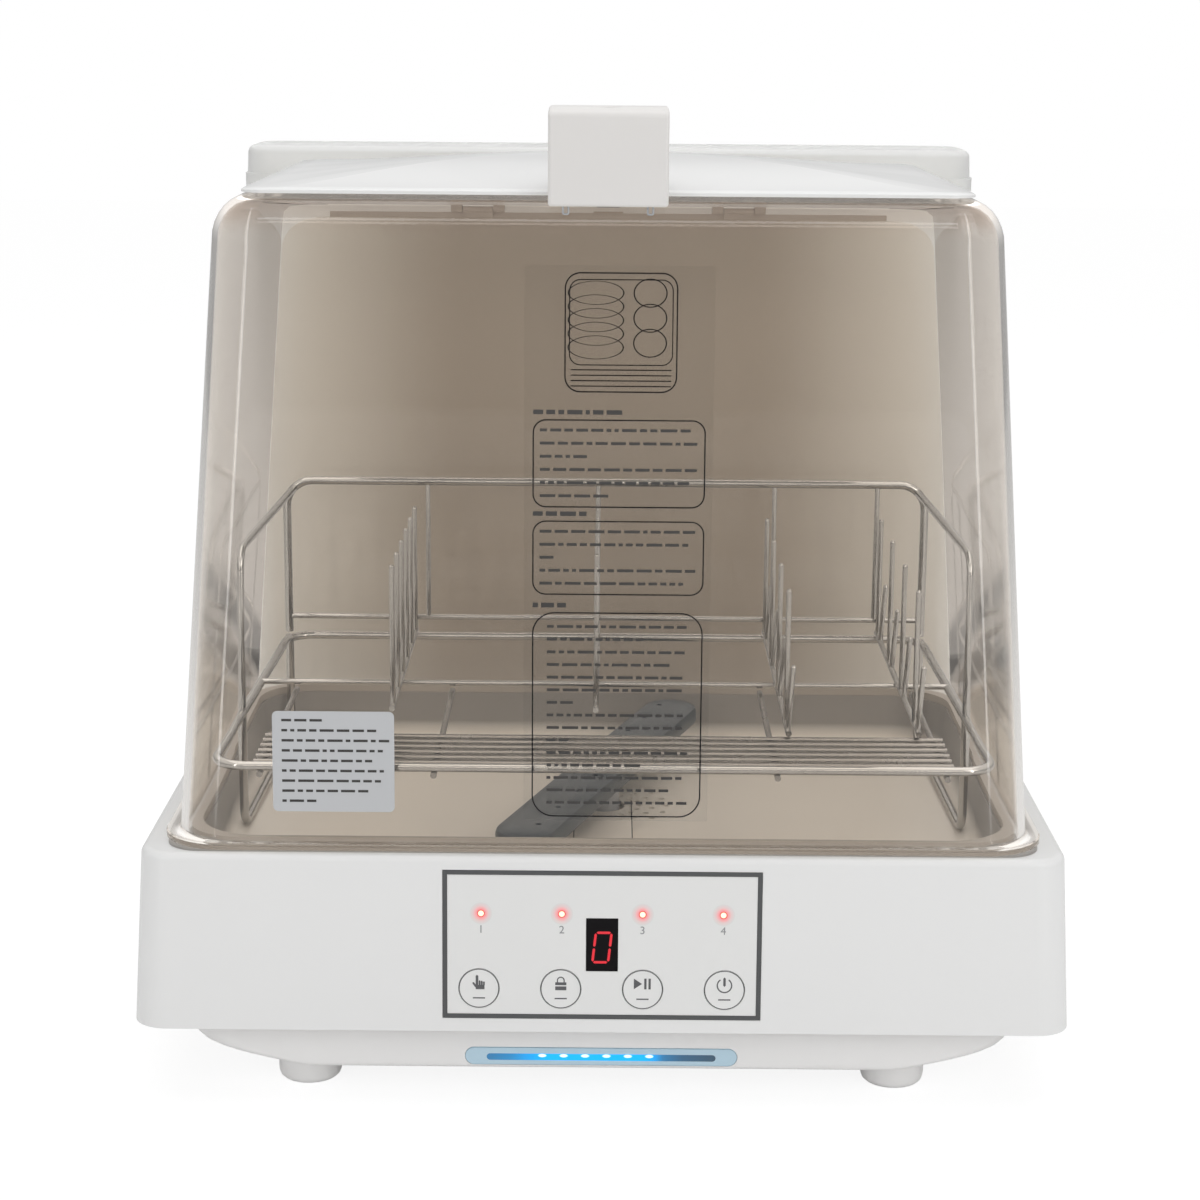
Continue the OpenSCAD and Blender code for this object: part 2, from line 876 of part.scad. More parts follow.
module panel_plate() {
    color(white)
        on_face()
            difference() {
                face_slab(plate_width, plate_height, panel_rise + (panel_face_height - plate_height) / 2,
                    0, recess_depth);
                for (i = [0 : 3]) {
                    through_face(key_x(i), key_rise, -1, 4, key_radius + fit);
                    through_face(lamp_x(i), lamp_rise, -1, 4, lamp_radius + fit);
                }
                face_slab(display_width + fit, display_height + fit,
                    panel_rise + display_rise - fit / 2, -1, recess_depth + 1);
            }
}

module display_window() {
    color(black)
        on_face()
            face_slab(display_width, display_height, panel_rise + display_rise, 0, board_gap);
}

module indicator_lamps() {
    color("red")
        on_face()
            for (i = [0 : 3])
                through_face(lamp_x(i), lamp_rise, 0.3, board_gap - 0.3, lamp_radius);
}

module face_key(index) {
    color(white)
        on_face() {
            through_face(key_x(index), key_rise, -0.1, key_thickness, key_radius);
            through_face(key_x(index), key_rise, key_thickness - 0.2,
                board_gap - key_thickness - key_travel - gap + 0.2, 2.5);
        }
}
module select_key() { face_key(0); }
module lock_key() { face_key(1); }
module start_key() { face_key(2); }
module power_key() { face_key(3); }

module control_board() {
    color(green)
        on_face() {
            face_slab(panel_face_width + 6, plate_height - 4, panel_rise + border_line + 2,
                board_gap, board_gap + board_thickness);
            for (side = [-1, 1], rise = [10, panel_face_height - 10])
                translate([side * panel_face_width / 2, base_wall + fit, panel_rise + rise])
                    rotate([-90, 0, 0])
                        cylinder(h = board_gap - base_wall - fit + slice, r = 2.5);
        }
}

lens_proud = 0.4;       // how far the lens stands out of the pan's front
lens_depth = base_wall + 1;
module light_lens() {
    color([0.78, 0.88, 1.0])
        through_pan_front(-lens_proud, lens_depth)
            light_outline(0);
}

board_trim = 1.8;      // how much less high the lamp board is than its opening, above and below
module light_board() {
    color(green)
        through_pan_front(lens_depth - lens_proud, board_thickness)
            square([light_width - 10, light_height - 2 * board_trim], center = true);
}

power_board_x = -140;
module power_board() {
    board_y = back(80);
    color(green)
        translate([power_board_x, board_y, works_floor + 6])
            cube([70, 90, board_thickness]);
    color(black) {
        translate([power_board_x + 8, board_y + 10, works_floor + 6 + board_thickness])
            cube([26, 30, 22]);
        translate([power_board_x + 44, board_y + 20, works_floor + 6 + board_thickness])
            cylinder(h = 24, r = 8);
    }
    color(white)
        for (x = [8, 62], y = [8, 82])
            translate([power_board_x + x, board_y + y, works_floor])
                cylinder(h = 6, r = 3);
}

inlet_half_width = 14;
inlet_half_height = 10;
module power_inlet() {
    color(black)
        translate([inlet_x, rear_y, inlet_z])
            difference() {
                union() {
                    translate([-inlet_half_width + fit, -24, -inlet_half_height + fit])
                        cube([2 * (inlet_half_width - fit), 24, 2 * (inlet_half_height - fit)]);
                    translate([-inlet_half_width - 4, -base_wall - 2, -inlet_half_height - 4])
                        cube([2 * inlet_half_width + 8, 2, 2 * inlet_half_height + 8]);
                }
                translate([-inlet_half_width + 3, -16, -inlet_half_height + 3])
                    cube([2 * inlet_half_width - 6, 20, 2 * inlet_half_height - 6]);
            }
}

// ---- Hood ----

hood_foot = rim_top + gap;
shoulder_z = hood_height - hood_shoulder;
hood_front = back(hood_setback);
hood_rear = back(hood_reach);
hood_face_lean = atan(hood_lean / (shoulder_z - hood_foot));

// Levels of the hood, moved inwards by inset; the rear runs on past the cut.
function hood_levels(inset) = concat(
    [[hood_foot - (inset > 0 ? 1 : 0), hood_width / 2 - inset, hood_front + inset,
        hood_rear + 30, hood_corner - inset]],
    [for (a = [0 : 15 : 90])
        let (turn = 1 - cos(a), reach = hood_shoulder - inset)
            [shoulder_z + reach * sin(a) - slice,
                hood_top_width / 2 - inset - reach * turn,
                hood_front + hood_lean + inset + front_round * turn,
                hood_rear + 30, max(3, hood_corner - inset - reach * turn)]]
);

roof_ledge = 12;       // width of the hood's roof under the edge of the top panel
panel_front = hood_front + hood_lean + front_round;
panel_rear = hood_rear;

module hood_shell() {
    color(smoke)
        difference() {
            union() {
                slices(hood_levels(0), 40);
                translate([0, 0, hood_foot])
                    plate(hood_width / 2 + hood_flange, hood_front - hood_flange + 1.5,
                        hood_rear + 30, hood_corner + hood_flange - 4, flange_thickness);
            }
            slices(hood_levels(hood_wall), 40);
            translate([-hood_width, hood_rear, 0])
                cube([2 * hood_width, 60, 2 * hood_height]);
            translate([0, 0, hood_height - hood_wall - 2])
                plate(panel_width / 2 - roof_ledge, panel_front + roof_ledge, hood_rear + 30,
                    8, hood_wall + 4);
        }
}

// Height of the top panel's crown at x and y, less the drop.
crown_y = back(crown_setback);
function panel_z(x, y, drop) =
    let (u = 2 * x / panel_width,
         t = y < crown_y ? (crown_y - y) / (crown_y - panel_front)
                         : (y - crown_y) / (panel_rear - crown_y),
         edge = y < crown_y ? 2.5 : 2)
    hood_height + panel_edge - drop
        + (1 - u * u) * (edge + (panel_crown - panel_edge - edge) * (1 - t * t));

module panel_dome(drop, inset) {
    hull() {
        for (u = [-1 : 0.125 : 1], t = [-1 : 0.2 : 1]) {
            x = u * (panel_width / 2 - inset);
            y = t < 0 ? mix(crown_y, panel_front + inset, -t) : mix(crown_y, panel_rear - inset, t);
            translate([x, y, panel_z(x, y, drop) - slice])
                cylinder(h = slice, r = slice, $fn = 4);
        }
        for (side = [-1, 1], y = [panel_front + inset, panel_rear - inset])
            translate([side * (panel_width / 2 - inset), y, hood_height - drop])
                cylinder(h = slice, r = slice, $fn = 4);
    }
}

module top_panel() {
    color(white)
        difference() {
            intersection() {
                panel_dome(0, 0);
                translate([0, 0, hood_height])
                    plate(panel_width / 2, panel_front, panel_rear, 14, panel_crown + 5);
            }
            intersection() {
                panel_dome(panel_wall, panel_wall);
                translate([0, 0, hood_height - 5])
                    plate(panel_width / 2 - roof_ledge - 1, panel_front + roof_ledge + 1,
                        panel_rear - panel_wall, 10, panel_crown + 10);
            }
            translate([0, screw_y, hood_height])
                cylinder(h = panel_crown + 5, r = screw_radius + 0.1);
        }
}

handle_front = back(handle_setback);
handle_top = handle_base + handle_height;
apron = panel_front - front_round - 1.6 - handle_front;   // front plate of the handle
screw_y = handle_front + handle_depth * 0.55;

module handle() {
    half = handle_width / 2;
    round = 3;
    color(white)
        difference() {
            union() {
                translate([-half, handle_front, handle_base])
                    cube([handle_width, apron, handle_height - round]);
                translate([0, 0, hood_height])
                    plate(half, handle_front, handle_front + handle_depth, round,
                        handle_top - round - hood_height);
                slices([
                    [handle_top - round - slice, half, handle_front,
                        handle_front + handle_depth, round],
                    [handle_top - slice, half - round, handle_front + round,
                        handle_front + handle_depth - round, round]
                ], 32);
            }
            panel_dome(0, 0);
            translate([0, screw_y, 0])
                cylinder(h = handle_top + 1, r = screw_radius + 0.1);
            translate([0, screw_y, handle_top - 4])
                cylinder(h = 10, r = 5.5);
        }
}

module handle_screw() {
    color(steel)
        translate([0, screw_y, 0]) {
            translate([0, 0, handle_top - 4])
                cylinder(h = 2.4, r = 4.5);
            translate([0, 0, hood_height + fit])
                cylinder(h = handle_top - 4 - hood_height - fit + slice, r = screw_radius);
        }
}

clip_spread = 18.5;    // from the handle's middle to each clip
clip_width = 3.2;
clip_thickness = 2;
clip_length = 4;
module handle_clips() {
    color([0.85, 0.85, 0.83])
        for (side = [-1, 1])
            translate([side * clip_spread - clip_width / 2, handle_front + apron - clip_thickness,
                handle_base - clip_length])
                cube([clip_width, clip_thickness, clip_length]);
}

// Places children on the hood's leaning front face, with z measured up the face.
module on_hood() {
    translate([0, hood_front, hood_foot])
        rotate([-hood_face_lean, 0, 0])
            children();
}

film_thickness = 0.25;
glue_line = 0.02;      // glue between the hood and what is stuck on it
module rounded_sheet(width, height, radius) {
    rotate([90, 0, 0])
        linear_extrude(film_thickness)
            rounded_outline(width / 2, 0, height, radius);
}

film_width = 84;
film_x = 5.5;
film_low = 14;
film_margin = 7.85;    // face left free above the film, up to the hood's shoulder
film_height = (shoulder_z - hood_foot) / cos(hood_face_lean) - film_low - film_margin;
module instruction_film() {
    color([0.9, 0.9, 0.9, 0.25])
        on_hood()
            translate([film_x, -glue_line, film_low])
                rounded_sheet(film_width, film_height, 1);
}

label_width = 55.5;
label_height = 47;
label_x = -123;
label_low = 17;
module notice_label() {
    color([0.72, 0.73, 0.74])
        on_hood()
            translate([label_x, -glue_line, label_low])
                rounded_sheet(label_width, label_height, 2.5);
}

// ---- Hinge and rear wall ----

hinge_y = back(hinge_setback);
lug_radius = 6;
lug_width = 6;
knuckle_width = 16;
rail_height = 6;
rail_depth = 9;
rail_half = 150;
wall_front = hood_rear + 0.6;

function hood_half_at(z) =
    mix(hood_width, hood_top_width, (z - hood_foot) / (shoulder_z - hood_foot)) / 2;

module rear_wall() {
    corner = 25;
    low_half = hood_half_at(rim_top) - 1;
    high_half = hood_half_at(wall_top) - 1;
    color(smoke)
        translate([0, wall_front + wall_thickness, 0])
            rotate([90, 0, 0])
                linear_extrude(wall_thickness) {
                    polygon([
                        [-low_half, deck_height], [low_half, deck_height],
                        for (a = [0 : 7.5 : 90])
                            [high_half - corner + corner * cos(a), wall_top - corner + corner * sin(a)],
                        for (a = [90 : 7.5 : 180])
                            [-high_half + corner + corner * cos(a), wall_top - corner + corner * sin(a)]
                    ]);
                }
}

module along_hinge(x, length, radius) {
    translate([x - length / 2, hinge_y, hinge_height])
        rotate([0, 90, 0])
            cylinder(h = length, r = radius);
}

module hinge_rail() {
    color(black)
        difference() {
            union() {
                translate([-rail_half, wall_front - 1, wall_top])
                    cube([2 * rail_half, rail_depth, rail_height]);
                for (side = [-1, 1]) {
                    along_hinge(side * hinge_spread, knuckle_width, lug_radius);
                    translate([side * hinge_spread - knuckle_width / 2, hinge_y - 2, wall_top + 1])
                        cube([knuckle_width, 8, hinge_height - wall_top - 1]);
                }
            }
            for (side = [-1, 1])
                along_hinge(side * hinge_spread, knuckle_width + 2, hinge_pin_radius);
        }
}

module hinge_pins() {
    color(steel)
        for (side = [-1, 1])
            along_hinge(side * hinge_spread, knuckle_width + 2 * lug_width + 2 * gap, hinge_pin_radius);
}

module hinge_lugs() {
    color(white)
        difference() {
            for (side = [-1, 1], arm = [-1, 1]) {
                x = side * hinge_spread + arm * (knuckle_width / 2 + gap + lug_width / 2);
                along_hinge(x, lug_width, lug_radius);
                translate([x - lug_width / 2, hinge_y - lug_radius, hinge_height])
                    cube([lug_width, 2 * lug_radius - 6, hood_height + 6 - hinge_height]);
            }
            for (side = [-1, 1])
                along_hinge(side * hinge_spread, knuckle_width + 30, hinge_pin_radius + pin_clearance);
            difference() {
                translate([-hood_width, hinge_y - 40, hood_height - panel_wall])
                    cube([2 * hood_width, 80, 40]);
                panel_dome(panel_wall, panel_wall);
            }
        }
}

module reed_switch() {
    color(green)
        translate([-8, wall_front - 1, wall_top + rail_height])
            cube([16, 4, 3]);
}

module hood_magnet() {
    color(steel)
        difference() {
            translate([-6, hinge_y - 10, hood_height - 6])
                cube([12, 6, 20]);
            difference() {
                translate([-hood_width, hinge_y - 40, hood_height - panel_wall])
                    cube([2 * hood_width, 80, 60]);
                panel_dome(panel_wall, panel_wall);
            }
        }
}

// ---- Rack ----

runner_z = tub_floor + frame_wire + gap;
rack_front = back(22);
rack_rear = back(268);
post_setback = 108;
post_y = back(post_setback);
rear_post_y = rack_rear;
function rack_half(y) =
    mix(rack_half_width, rack_rear_half_width, (y - rack_front) / (rack_rear - rack_front));
cross_y = back(166);
bend = 16;             // size of the rack's bent corners
rail_drop = 6;         // how far the side rails start below the top of the rear arch
mid_rail_z = rack_height + 11;
plate_rows = [-104, -4];
plate_first = back(112);
plate_pitch = 30;
plate_count = 6;
bowl_rows = [88, 150];
tall_first = back(88);
short_first = back(74);
bowl_pitch = 58;
bowl_count = 4;
short_lean = 2;        // how far a short bowl tine leans to the side
row_lead = 6;          // how far a row's base wire runs on in front of the first tine
stiffeners = [-97, -4, 92, 148];
shelf_half = 162;
shelf_pitch = 8.4;
shelf_count = 6;
shelf_lead = 10;
bearers = [-158, -78, 80, 158];
cross_z = rack_height + frame_wire - thin_wire;   // level with the top of the frame
tine_base = rack_height + frame_wire + thin_wire;
// A wire welded to the side of another is a little thinner than the one that carries it.
weld_step = 0.2;
upright_wire = thin_wire - weld_step;
side_wire = frame_wire - weld_step;

module rack_lower_frame() {
    front_half = rack_half(rack_front);
    rear_half = rack_half(rack_rear);
    post_half = rack_half(post_y);
    color(steel) {
        wire([[-front_half + bend, rack_front, rack_height], [front_half - bend, rack_front, rack_height],
            [front_half - 4, rack_front + 4, rack_height], [front_half, rack_front + bend, rack_height],
            [rear_half, rack_rear, rack_height], [-rear_half, rack_rear, rack_height],
            [-front_half, rack_front + bend, rack_height],
            [-front_half + 4, rack_front + 4, rack_height], [-front_half + bend, rack_front, rack_height]],
            frame_wire);
        rod([-rack_half(cross_y), cross_y, cross_z], [rack_half(cross_y), cross_y, cross_z], thin_wire);
        for (side = [-1, 1])
            wire([[side * post_half, post_y, rack_height], [side * post_half, post_y, runner_z],
                [side * rear_half, rack_rear, runner_z], [side * rear_half, rack_rear, rack_height]],
                frame_wire);
    }
}

module rack_upper_frame() {
    post_half = rack_half(post_y);
    rear_half = rack_half(rack_rear);
    low = rack_height + frame_wire;
    rail_z = rack_rail_height - rail_drop;
    // Each side rail is welded to the middle of the arch's bent corner.
    weld_x = rear_half - bend * 0.35;
    weld_z = rack_rail_height - bend / 2;
    color(steel) {
        wire([[-rear_half, rear_post_y, low], [-rear_half, rear_post_y, rack_rail_height - bend],
            [-rear_half + bend * 0.7, rear_post_y, rack_rail_height],
            [rear_half - bend * 0.7, rear_post_y, rack_rail_height],
            [rear_half, rear_post_y, rack_rail_height - bend], [rear_half, rear_post_y, low]], frame_wire);
        for (side = [-1, 1])
            wire([[side * post_half, post_y, low], [side * post_half, post_y, rail_z - bend * 0.6],
                [side * post_half, post_y + bend * 0.6, rail_z],
                [side * weld_x, rear_post_y, weld_z]], side_wire);
        rod([-rear_half, rear_post_y, mid_rail_z], [rear_half, rear_post_y, mid_rail_z], thin_wire);
        for (x = stiffeners)
            rod([x, rear_post_y, mid_rail_z], [x, rear_post_y, rack_rail_height], upright_wire);
    }
}

module tine_row(x, from, count, pitch, top, lean) {
    for (i = [0 : count - 1])
        rod([x, from + i * pitch, tine_base], [x + lean, from + i * pitch, top], upright_wire);
}

module plate_tines() {
    color(steel)
        for (x = plate_rows) {
            rod([x, plate_first - row_lead, tine_base], [x, rack_rear, tine_base], thin_wire);
            tine_row(x, plate_first, plate_count, plate_pitch, plate_tine_top, 0);
        }
}

module bowl_tines() {
    color(steel)
        for (x = bowl_rows) {
            rod([x, short_first - row_lead, tine_base], [x, rack_rear, tine_base], thin_wire);
            tine_row(x, tall_first, bowl_count, bowl_pitch, bowl_tine_top, 0);
            tine_row(x, short_first, bowl_count, bowl_pitch, short_tine_top, short_lean);
        }
}

// The cross wires run under the front rail and the cross rail; the shelf wires lie on them.
module utensil_shelf() {
    weld = 0.4;
    bearer_z = rack_height - frame_wire - thin_wire;
    shelf_z = bearer_z + 2 * thin_wire - weld;
    color(steel) {
        for (i = [0 : shelf_count - 1]) {
            y = rack_front + shelf_lead + i * shelf_pitch;
            rod([-shelf_half, y, shelf_z], [shelf_half, y, shelf_z], thin_wire);
        }
        for (x = bearers)
            rod([x, rack_front - 1, bearer_z], [x, cross_y + thin_wire, bearer_z], thin_wire);
    }
}

// ---- Water tank ----

tank_half = tank_width / 2;
tank_corner = 14;
module water_tank() {
    color(frost)
        difference() {
            translate([0, 0, deck_height])
                plate(tank_half, tank_front, tank_rear, tank_corner, tank_seam - deck_height);
            translate([0, 0, deck_height + tank_wall])
                plate(tank_half - tank_wall, tank_front + tank_wall, tank_rear - tank_wall,
                    tank_corner - tank_wall, tank_seam);
            translate([tank_port_x, tank_port_y, deck_height - 1])
                cylinder(h = 10, r = port_radius - 2);
        }
}

module tank_lid() {
    lid_inset = 1;
    round = 4;
    color(frost)
        difference() {
            union() {
                slices([
                    [tank_seam + fit, tank_half - lid_inset, tank_front + lid_inset,
                        tank_rear - lid_inset, tank_corner],
                    [tank_seam + lid_height - round, tank_half - lid_inset - 1, tank_front + lid_inset,
                        tank_rear - lid_inset, tank_corner],
                    [tank_seam + lid_height - slice, tank_half - lid_inset - 1 - round,
                        tank_front + lid_inset + round, tank_rear - lid_inset - round, tank_corner - 2]
                ], 32);
                translate([0, 0, tank_seam - 5])
                    plate(tank_half - tank_wall - gap, tank_front + tank_wall + gap,
                        tank_rear - tank_wall - gap, tank_corner - tank_wall, 5 + fit + 1);
            }
            translate([0, 0, tank_seam - 6])
                plate(tank_half - 2 * tank_wall - gap - 1, tank_front + 2 * tank_wall + gap + 1,
                    tank_rear - 2 * tank_wall - gap - 1, tank_corner - 4, lid_height + 6 - tank_wall - 1);
        }
}

base_shell();
bottom_pan();
feet();
pan_screws();
wash_tub();
tub_gasket();
filter_plate();
feed_channel();
tub_probes();
spray_stem();
spray_arm();
spray_cap();
wash_pump_housing();
wash_pump_motor();
wash_pump_impeller();
wash_hose();
heater();
drain_pump_body();
drain_pump_impeller();
drain_hose();
drain_outlet();
inlet_pump();
tank_outlet();
fan_housing();
fan_rotor();
fan_duct();
control_board();
power_board();
power_inlet();
panel_frame();
panel_plate();
display_window();
indicator_lamps();
select_key();
lock_key();
start_key();
power_key();
light_lens();
light_board();
rear_wall();
hinge_rail();
hinge_pins();
reed_switch();
hood_magnet();
hood_shell();
top_panel();
hinge_lugs();
handle();
handle_screw();
handle_clips();
instruction_film();
notice_label();
rack_lower_frame();
rack_upper_frame();
plate_tines();
bowl_tines();
utensil_shelf();
water_tank();
tank_lid();
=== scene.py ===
# %% [markdown]
# # A countertop dishwasher
# The machine is a white base with a shallow wash tub, a smoky hood that flips
# up on a hinge at the back, a wire rack that stands in the tub, and a frosted
# tank of clean water behind the rack. Lengths below are in millimetres, because
# that is how such a machine is drawn, and they become metres in the meshes.

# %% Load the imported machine
import bmesh
import bpy
from random import Random
from math import atan, cos, pi, radians, sin, sqrt
from mathutils import Matrix, Vector


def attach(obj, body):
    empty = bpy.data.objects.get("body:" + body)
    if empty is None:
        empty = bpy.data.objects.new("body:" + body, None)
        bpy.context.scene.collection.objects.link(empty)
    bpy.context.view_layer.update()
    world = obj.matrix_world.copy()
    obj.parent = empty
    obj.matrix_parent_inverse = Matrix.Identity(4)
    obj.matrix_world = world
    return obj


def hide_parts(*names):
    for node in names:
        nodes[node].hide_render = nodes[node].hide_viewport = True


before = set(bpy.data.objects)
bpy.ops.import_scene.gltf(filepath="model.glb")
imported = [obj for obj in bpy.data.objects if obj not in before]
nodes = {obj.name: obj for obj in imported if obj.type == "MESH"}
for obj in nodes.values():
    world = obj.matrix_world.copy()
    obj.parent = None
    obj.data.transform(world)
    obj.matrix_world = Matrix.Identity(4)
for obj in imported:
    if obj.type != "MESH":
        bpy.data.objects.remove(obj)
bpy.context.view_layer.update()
scene = bpy.context.scene

# %% [markdown]
# ## The camera
# The machine is seen from the front and a little above, with a long lens that
# keeps its sides nearly straight. The camera is made first, so that everything
# after it can be judged in the frame.

# %% Place the camera
MM = 0.001
EYE_AT = (0.4, -1300.0, 491.0)
EYE_YAW, EYE_PITCH, EYE_ROLL = 0.0023, radians(77.4), radians(0.45)
eye = bpy.data.cameras.new("eye")
eye.sensor_width = 36.0
eye.lens = 77.13
eye.clip_end = 50.0
camera = bpy.data.objects.new("eye", eye)
scene.collection.objects.link(camera)
look = Matrix.Rotation(EYE_YAW, 4, "Z") @ Matrix.Rotation(EYE_PITCH, 4, "X")
look = look @ Matrix.Rotation(EYE_ROLL, 4, "Z")
camera.matrix_world = Matrix.Translation(Vector(EYE_AT) * MM) @ look
scene.camera = camera
print("camera at", tuple(camera.location))


# %% [markdown]
# ## Moulded plastic
# Glossy moulded plastic is never one flat colour. Its shade drifts a little over
# a large part, and its polish drifts over a hand's width. A painted texture could
# show that, but slow noise on the object's own coordinates needs no unwrapping
# and has no seam, and a very fine noise gives the skin. Short helpers add and
# join the nodes, so that a finish is one line of colour and polish.

# %% Helpers that add and join nodes
def new_finish(name):
    finish = bpy.data.materials.new(name)
    finish.use_nodes = True
    tree = finish.node_tree
    return finish, tree, tree.nodes["Principled BSDF"]


def sockets(finish):
    return finish.node_tree.nodes["Principled BSDF"].inputs


def add(tree, kind, values=None, **settings):
    node = tree.nodes.new(kind)
    for setting, value in settings.items():
        setattr(node, setting, value)
    for socket, value in (values or {}).items():
        node.inputs[socket].default_value = value
    return node


def link(tree, *pairs):
    for source, target in pairs:
        tree.links.new(source, target)


def colour_mix(tree, share, low, high, target):
    mix = add(tree, "ShaderNodeMix", data_type="RGBA")
    for side, colour in (("A", low), ("B", high)):
        if isinstance(colour, tuple):
            mix.inputs[side].default_value = (*colour, 1)
        else:
            link(tree, (colour, mix.inputs[side]))
    link(tree, (share, mix.inputs["Factor"]), (mix.outputs["Result"], target))


def noise_over(tree, scale):
    place = add(tree, "ShaderNodeTexCoord")
    noise = add(tree, "ShaderNodeTexNoise", {"Scale": scale, "Detail": 2.0})
    link(tree, (place.outputs["Object"], noise.inputs["Vector"]))
    return noise.outputs["Fac"]


def drift(tree, noise, low, high, socket):
    span = add(tree, "ShaderNodeMapRange",
               {"From Min": 0.3, "From Max": 0.7, "To Min": low, "To Max": high})
    link(tree, (noise, span.inputs["Value"]), (span.outputs["Result"], socket))


def shade_drift(tree, noise, colour, depth, socket):
    colour_mix(tree, noise, tuple(c * (1 - depth) for c in colour), colour, socket)


# %% Finishes of moulded plastic
SKIN_GRAIN, SKIN_DEPTH = 1400.0, 0.00004


def moulded(name, colour, polish, depth=0.02, grain=SKIN_GRAIN, height=SKIN_DEPTH):
    finish, tree, shader = new_finish(name)
    slow = noise_over(tree, 9.0)
    shade_drift(tree, slow, colour, depth, shader.inputs["Base Color"])
    drift(tree, slow, polish * 0.85, polish * 1.15, shader.inputs["Roughness"])
    bump = add(tree, "ShaderNodeBump", {"Strength": 0.25, "Distance": height})
    link(tree, (noise_over(tree, grain), bump.inputs["Height"]),
         (bump.outputs["Normal"], shader.inputs["Normal"]))
    return finish


white_gloss = moulded("white_gloss", (0.86, 0.86, 0.855), 0.22)
white_satin = moulded("white_satin", (0.84, 0.84, 0.83), 0.38)
# The pan and the feet are the same white plastic as the base, made lighter here: painted light against
# the shade under the machine.
white_with_painted_light = moulded("white_with_painted_light", (0.95, 0.94, 0.93), 0.42)
warm_white = moulded("warm_white", (0.80, 0.78, 0.76), 0.36)
tub_satin = moulded("tub_satin", (0.93, 0.87, 0.79), 0.42, 0.04)
tub_pale = moulded("tub_pale", (0.90, 0.84, 0.765), 0.42, 0.04)
# The near black of the channel's seams is painted shade, for the shadow in the thin gap round the
# cover.
seam_shade_brown = moulded("seam_shade_brown", (0.05, 0.044, 0.04), 0.6)
light_grey = moulded("light_grey", (0.50, 0.51, 0.53), 0.45)
border_grey = moulded("border_grey", (0.085, 0.088, 0.09), 0.45)
warm_rail = moulded("warm_rail", (0.53, 0.475, 0.42), 0.5)
slate = moulded("slate", (0.082, 0.100, 0.116), 0.36, 0.10)
matt_black = moulded("matt_black", (0.018, 0.018, 0.020), 0.5, 0.1)
window_black = moulded("window_black", (0.006, 0.005, 0.006), 0.15)
sign_grey = moulded("sign_grey", (0.11, 0.11, 0.115), 0.6)
print_grey = moulded("print_grey", (0.30, 0.30, 0.31), 0.6)
print_dark = moulded("print_dark", (0.014, 0.014, 0.016), 0.8)
print_soft = moulded("print_soft", (0.055, 0.052, 0.050), 0.8)
sticker_silver = moulded("sticker_silver", (0.56, 0.57, 0.585), 0.5, 0.05)
for deep in (window_black, print_dark):
    sockets(deep)["Specular IOR Level"].default_value = 0.1
print("plastics made")


# %% Colour that changes along a piece
def ramp(finish, axis, start, end, style="SMOOTHSTEP", low=0.0, high=1.0):
    tree = finish.node_tree
    place = add(tree, "ShaderNodeTexCoord")
    apart = add(tree, "ShaderNodeSeparateXYZ")
    size = add(tree, "ShaderNodeMath", operation="ABSOLUTE")
    span = add(tree, "ShaderNodeMapRange", {"From Min": start * MM, "From Max": end * MM,
                                            "To Min": low, "To Max": high},
               interpolation_type=style)
    link(tree, (place.outputs["Object"], apart.inputs["Vector"]),
         (apart.outputs[axis], size.inputs[0]), (size.outputs["Value"], span.inputs["Value"]))
    return span.outputs["Result"]


def tint_over(finish, share, colour):
    base = sockets(finish)["Base Color"]
    under = base.links[0].from_socket if base.links else tuple(base.default_value)[:3]
    colour_mix(finish.node_tree, share, under, colour, base)


# The walls of the tub face each other and see little light, so they are darker.
tint_over(tub_satin, ramp(tub_satin, "Z", 99.5, 106.0, "LINEAR"), (0.34, 0.32, 0.30))
print("the tub's walls are tinted")


# %% [markdown]
# ## Metal, rubber and boards
# The rack is polished stainless wire. What it mirrors gives most of its look, and
# a finer noise varies its shade and polish along each wire. Screws and pins are
# duller zinc. The hoses are soft black rubber, and the seal round the tub is a
# warm grey. Both follow the recipe of the plastics, with a coarser skin.

# %% Finishes of metal and rubber
def drawn_metal(name, colour, polish):
    finish, tree, shader = new_finish(name)
    shader.inputs["Metallic"].default_value = 1.0
    fine = noise_over(tree, 90.0)
    shade_drift(tree, fine, colour, 0.05, shader.inputs["Base Color"])
    drift(tree, fine, polish * 0.7, polish * 1.3, shader.inputs["Roughness"])
    return finish


RUBBER_GRAIN, BOARD_GRAIN, COARSE_DEPTH = 700.0, 500.0, 0.0001
stainless = drawn_metal("stainless", (0.50, 0.485, 0.465), 0.13)
# The next finish is a darker copy of the stainless: painted shade for the shelf wires, which lie in
# the hood's shade.
painted_shade_wire = drawn_metal("painted_shade_wire", (0.32, 0.30, 0.28), 0.22)
zinc = drawn_metal("zinc", (0.50, 0.51, 0.53), 0.34)
rubber = moulded("rubber", (0.022, 0.022, 0.024), 0.7, 0.15, RUBBER_GRAIN, COARSE_DEPTH)
seal_warm = moulded("seal_warm", (0.50, 0.45, 0.40), 0.6, 0.10, RUBBER_GRAIN, COARSE_DEPTH)
board_green = moulded("board_green", (0.02, 0.13, 0.06), 0.4, 0.3, BOARD_GRAIN, COARSE_DEPTH)
print("metals made")


# %% [markdown]
# ## Clear and frosted plastic
# The hood is clear plastic dyed a light smoky brown, so each wall takes away a
# share of the light. The fixed wall behind the rack has a darker tint, dark in its
# middle and paler towards its sides: painted shade and painted light, for the light
# that comes in from the sides. A glass shader blocks the lamps, so rays from lamps,
# and rays scattered by matt or shiny surfaces, meet a plain transparent shader of a
# paler tint instead.

# %% Finishes that light passes through
def either(tree, one, two):
    larger = add(tree, "ShaderNodeMath", operation="MAXIMUM")
    link(tree, (one, larger.inputs[0]), (two, larger.inputs[1]))
    return larger.outputs["Value"]


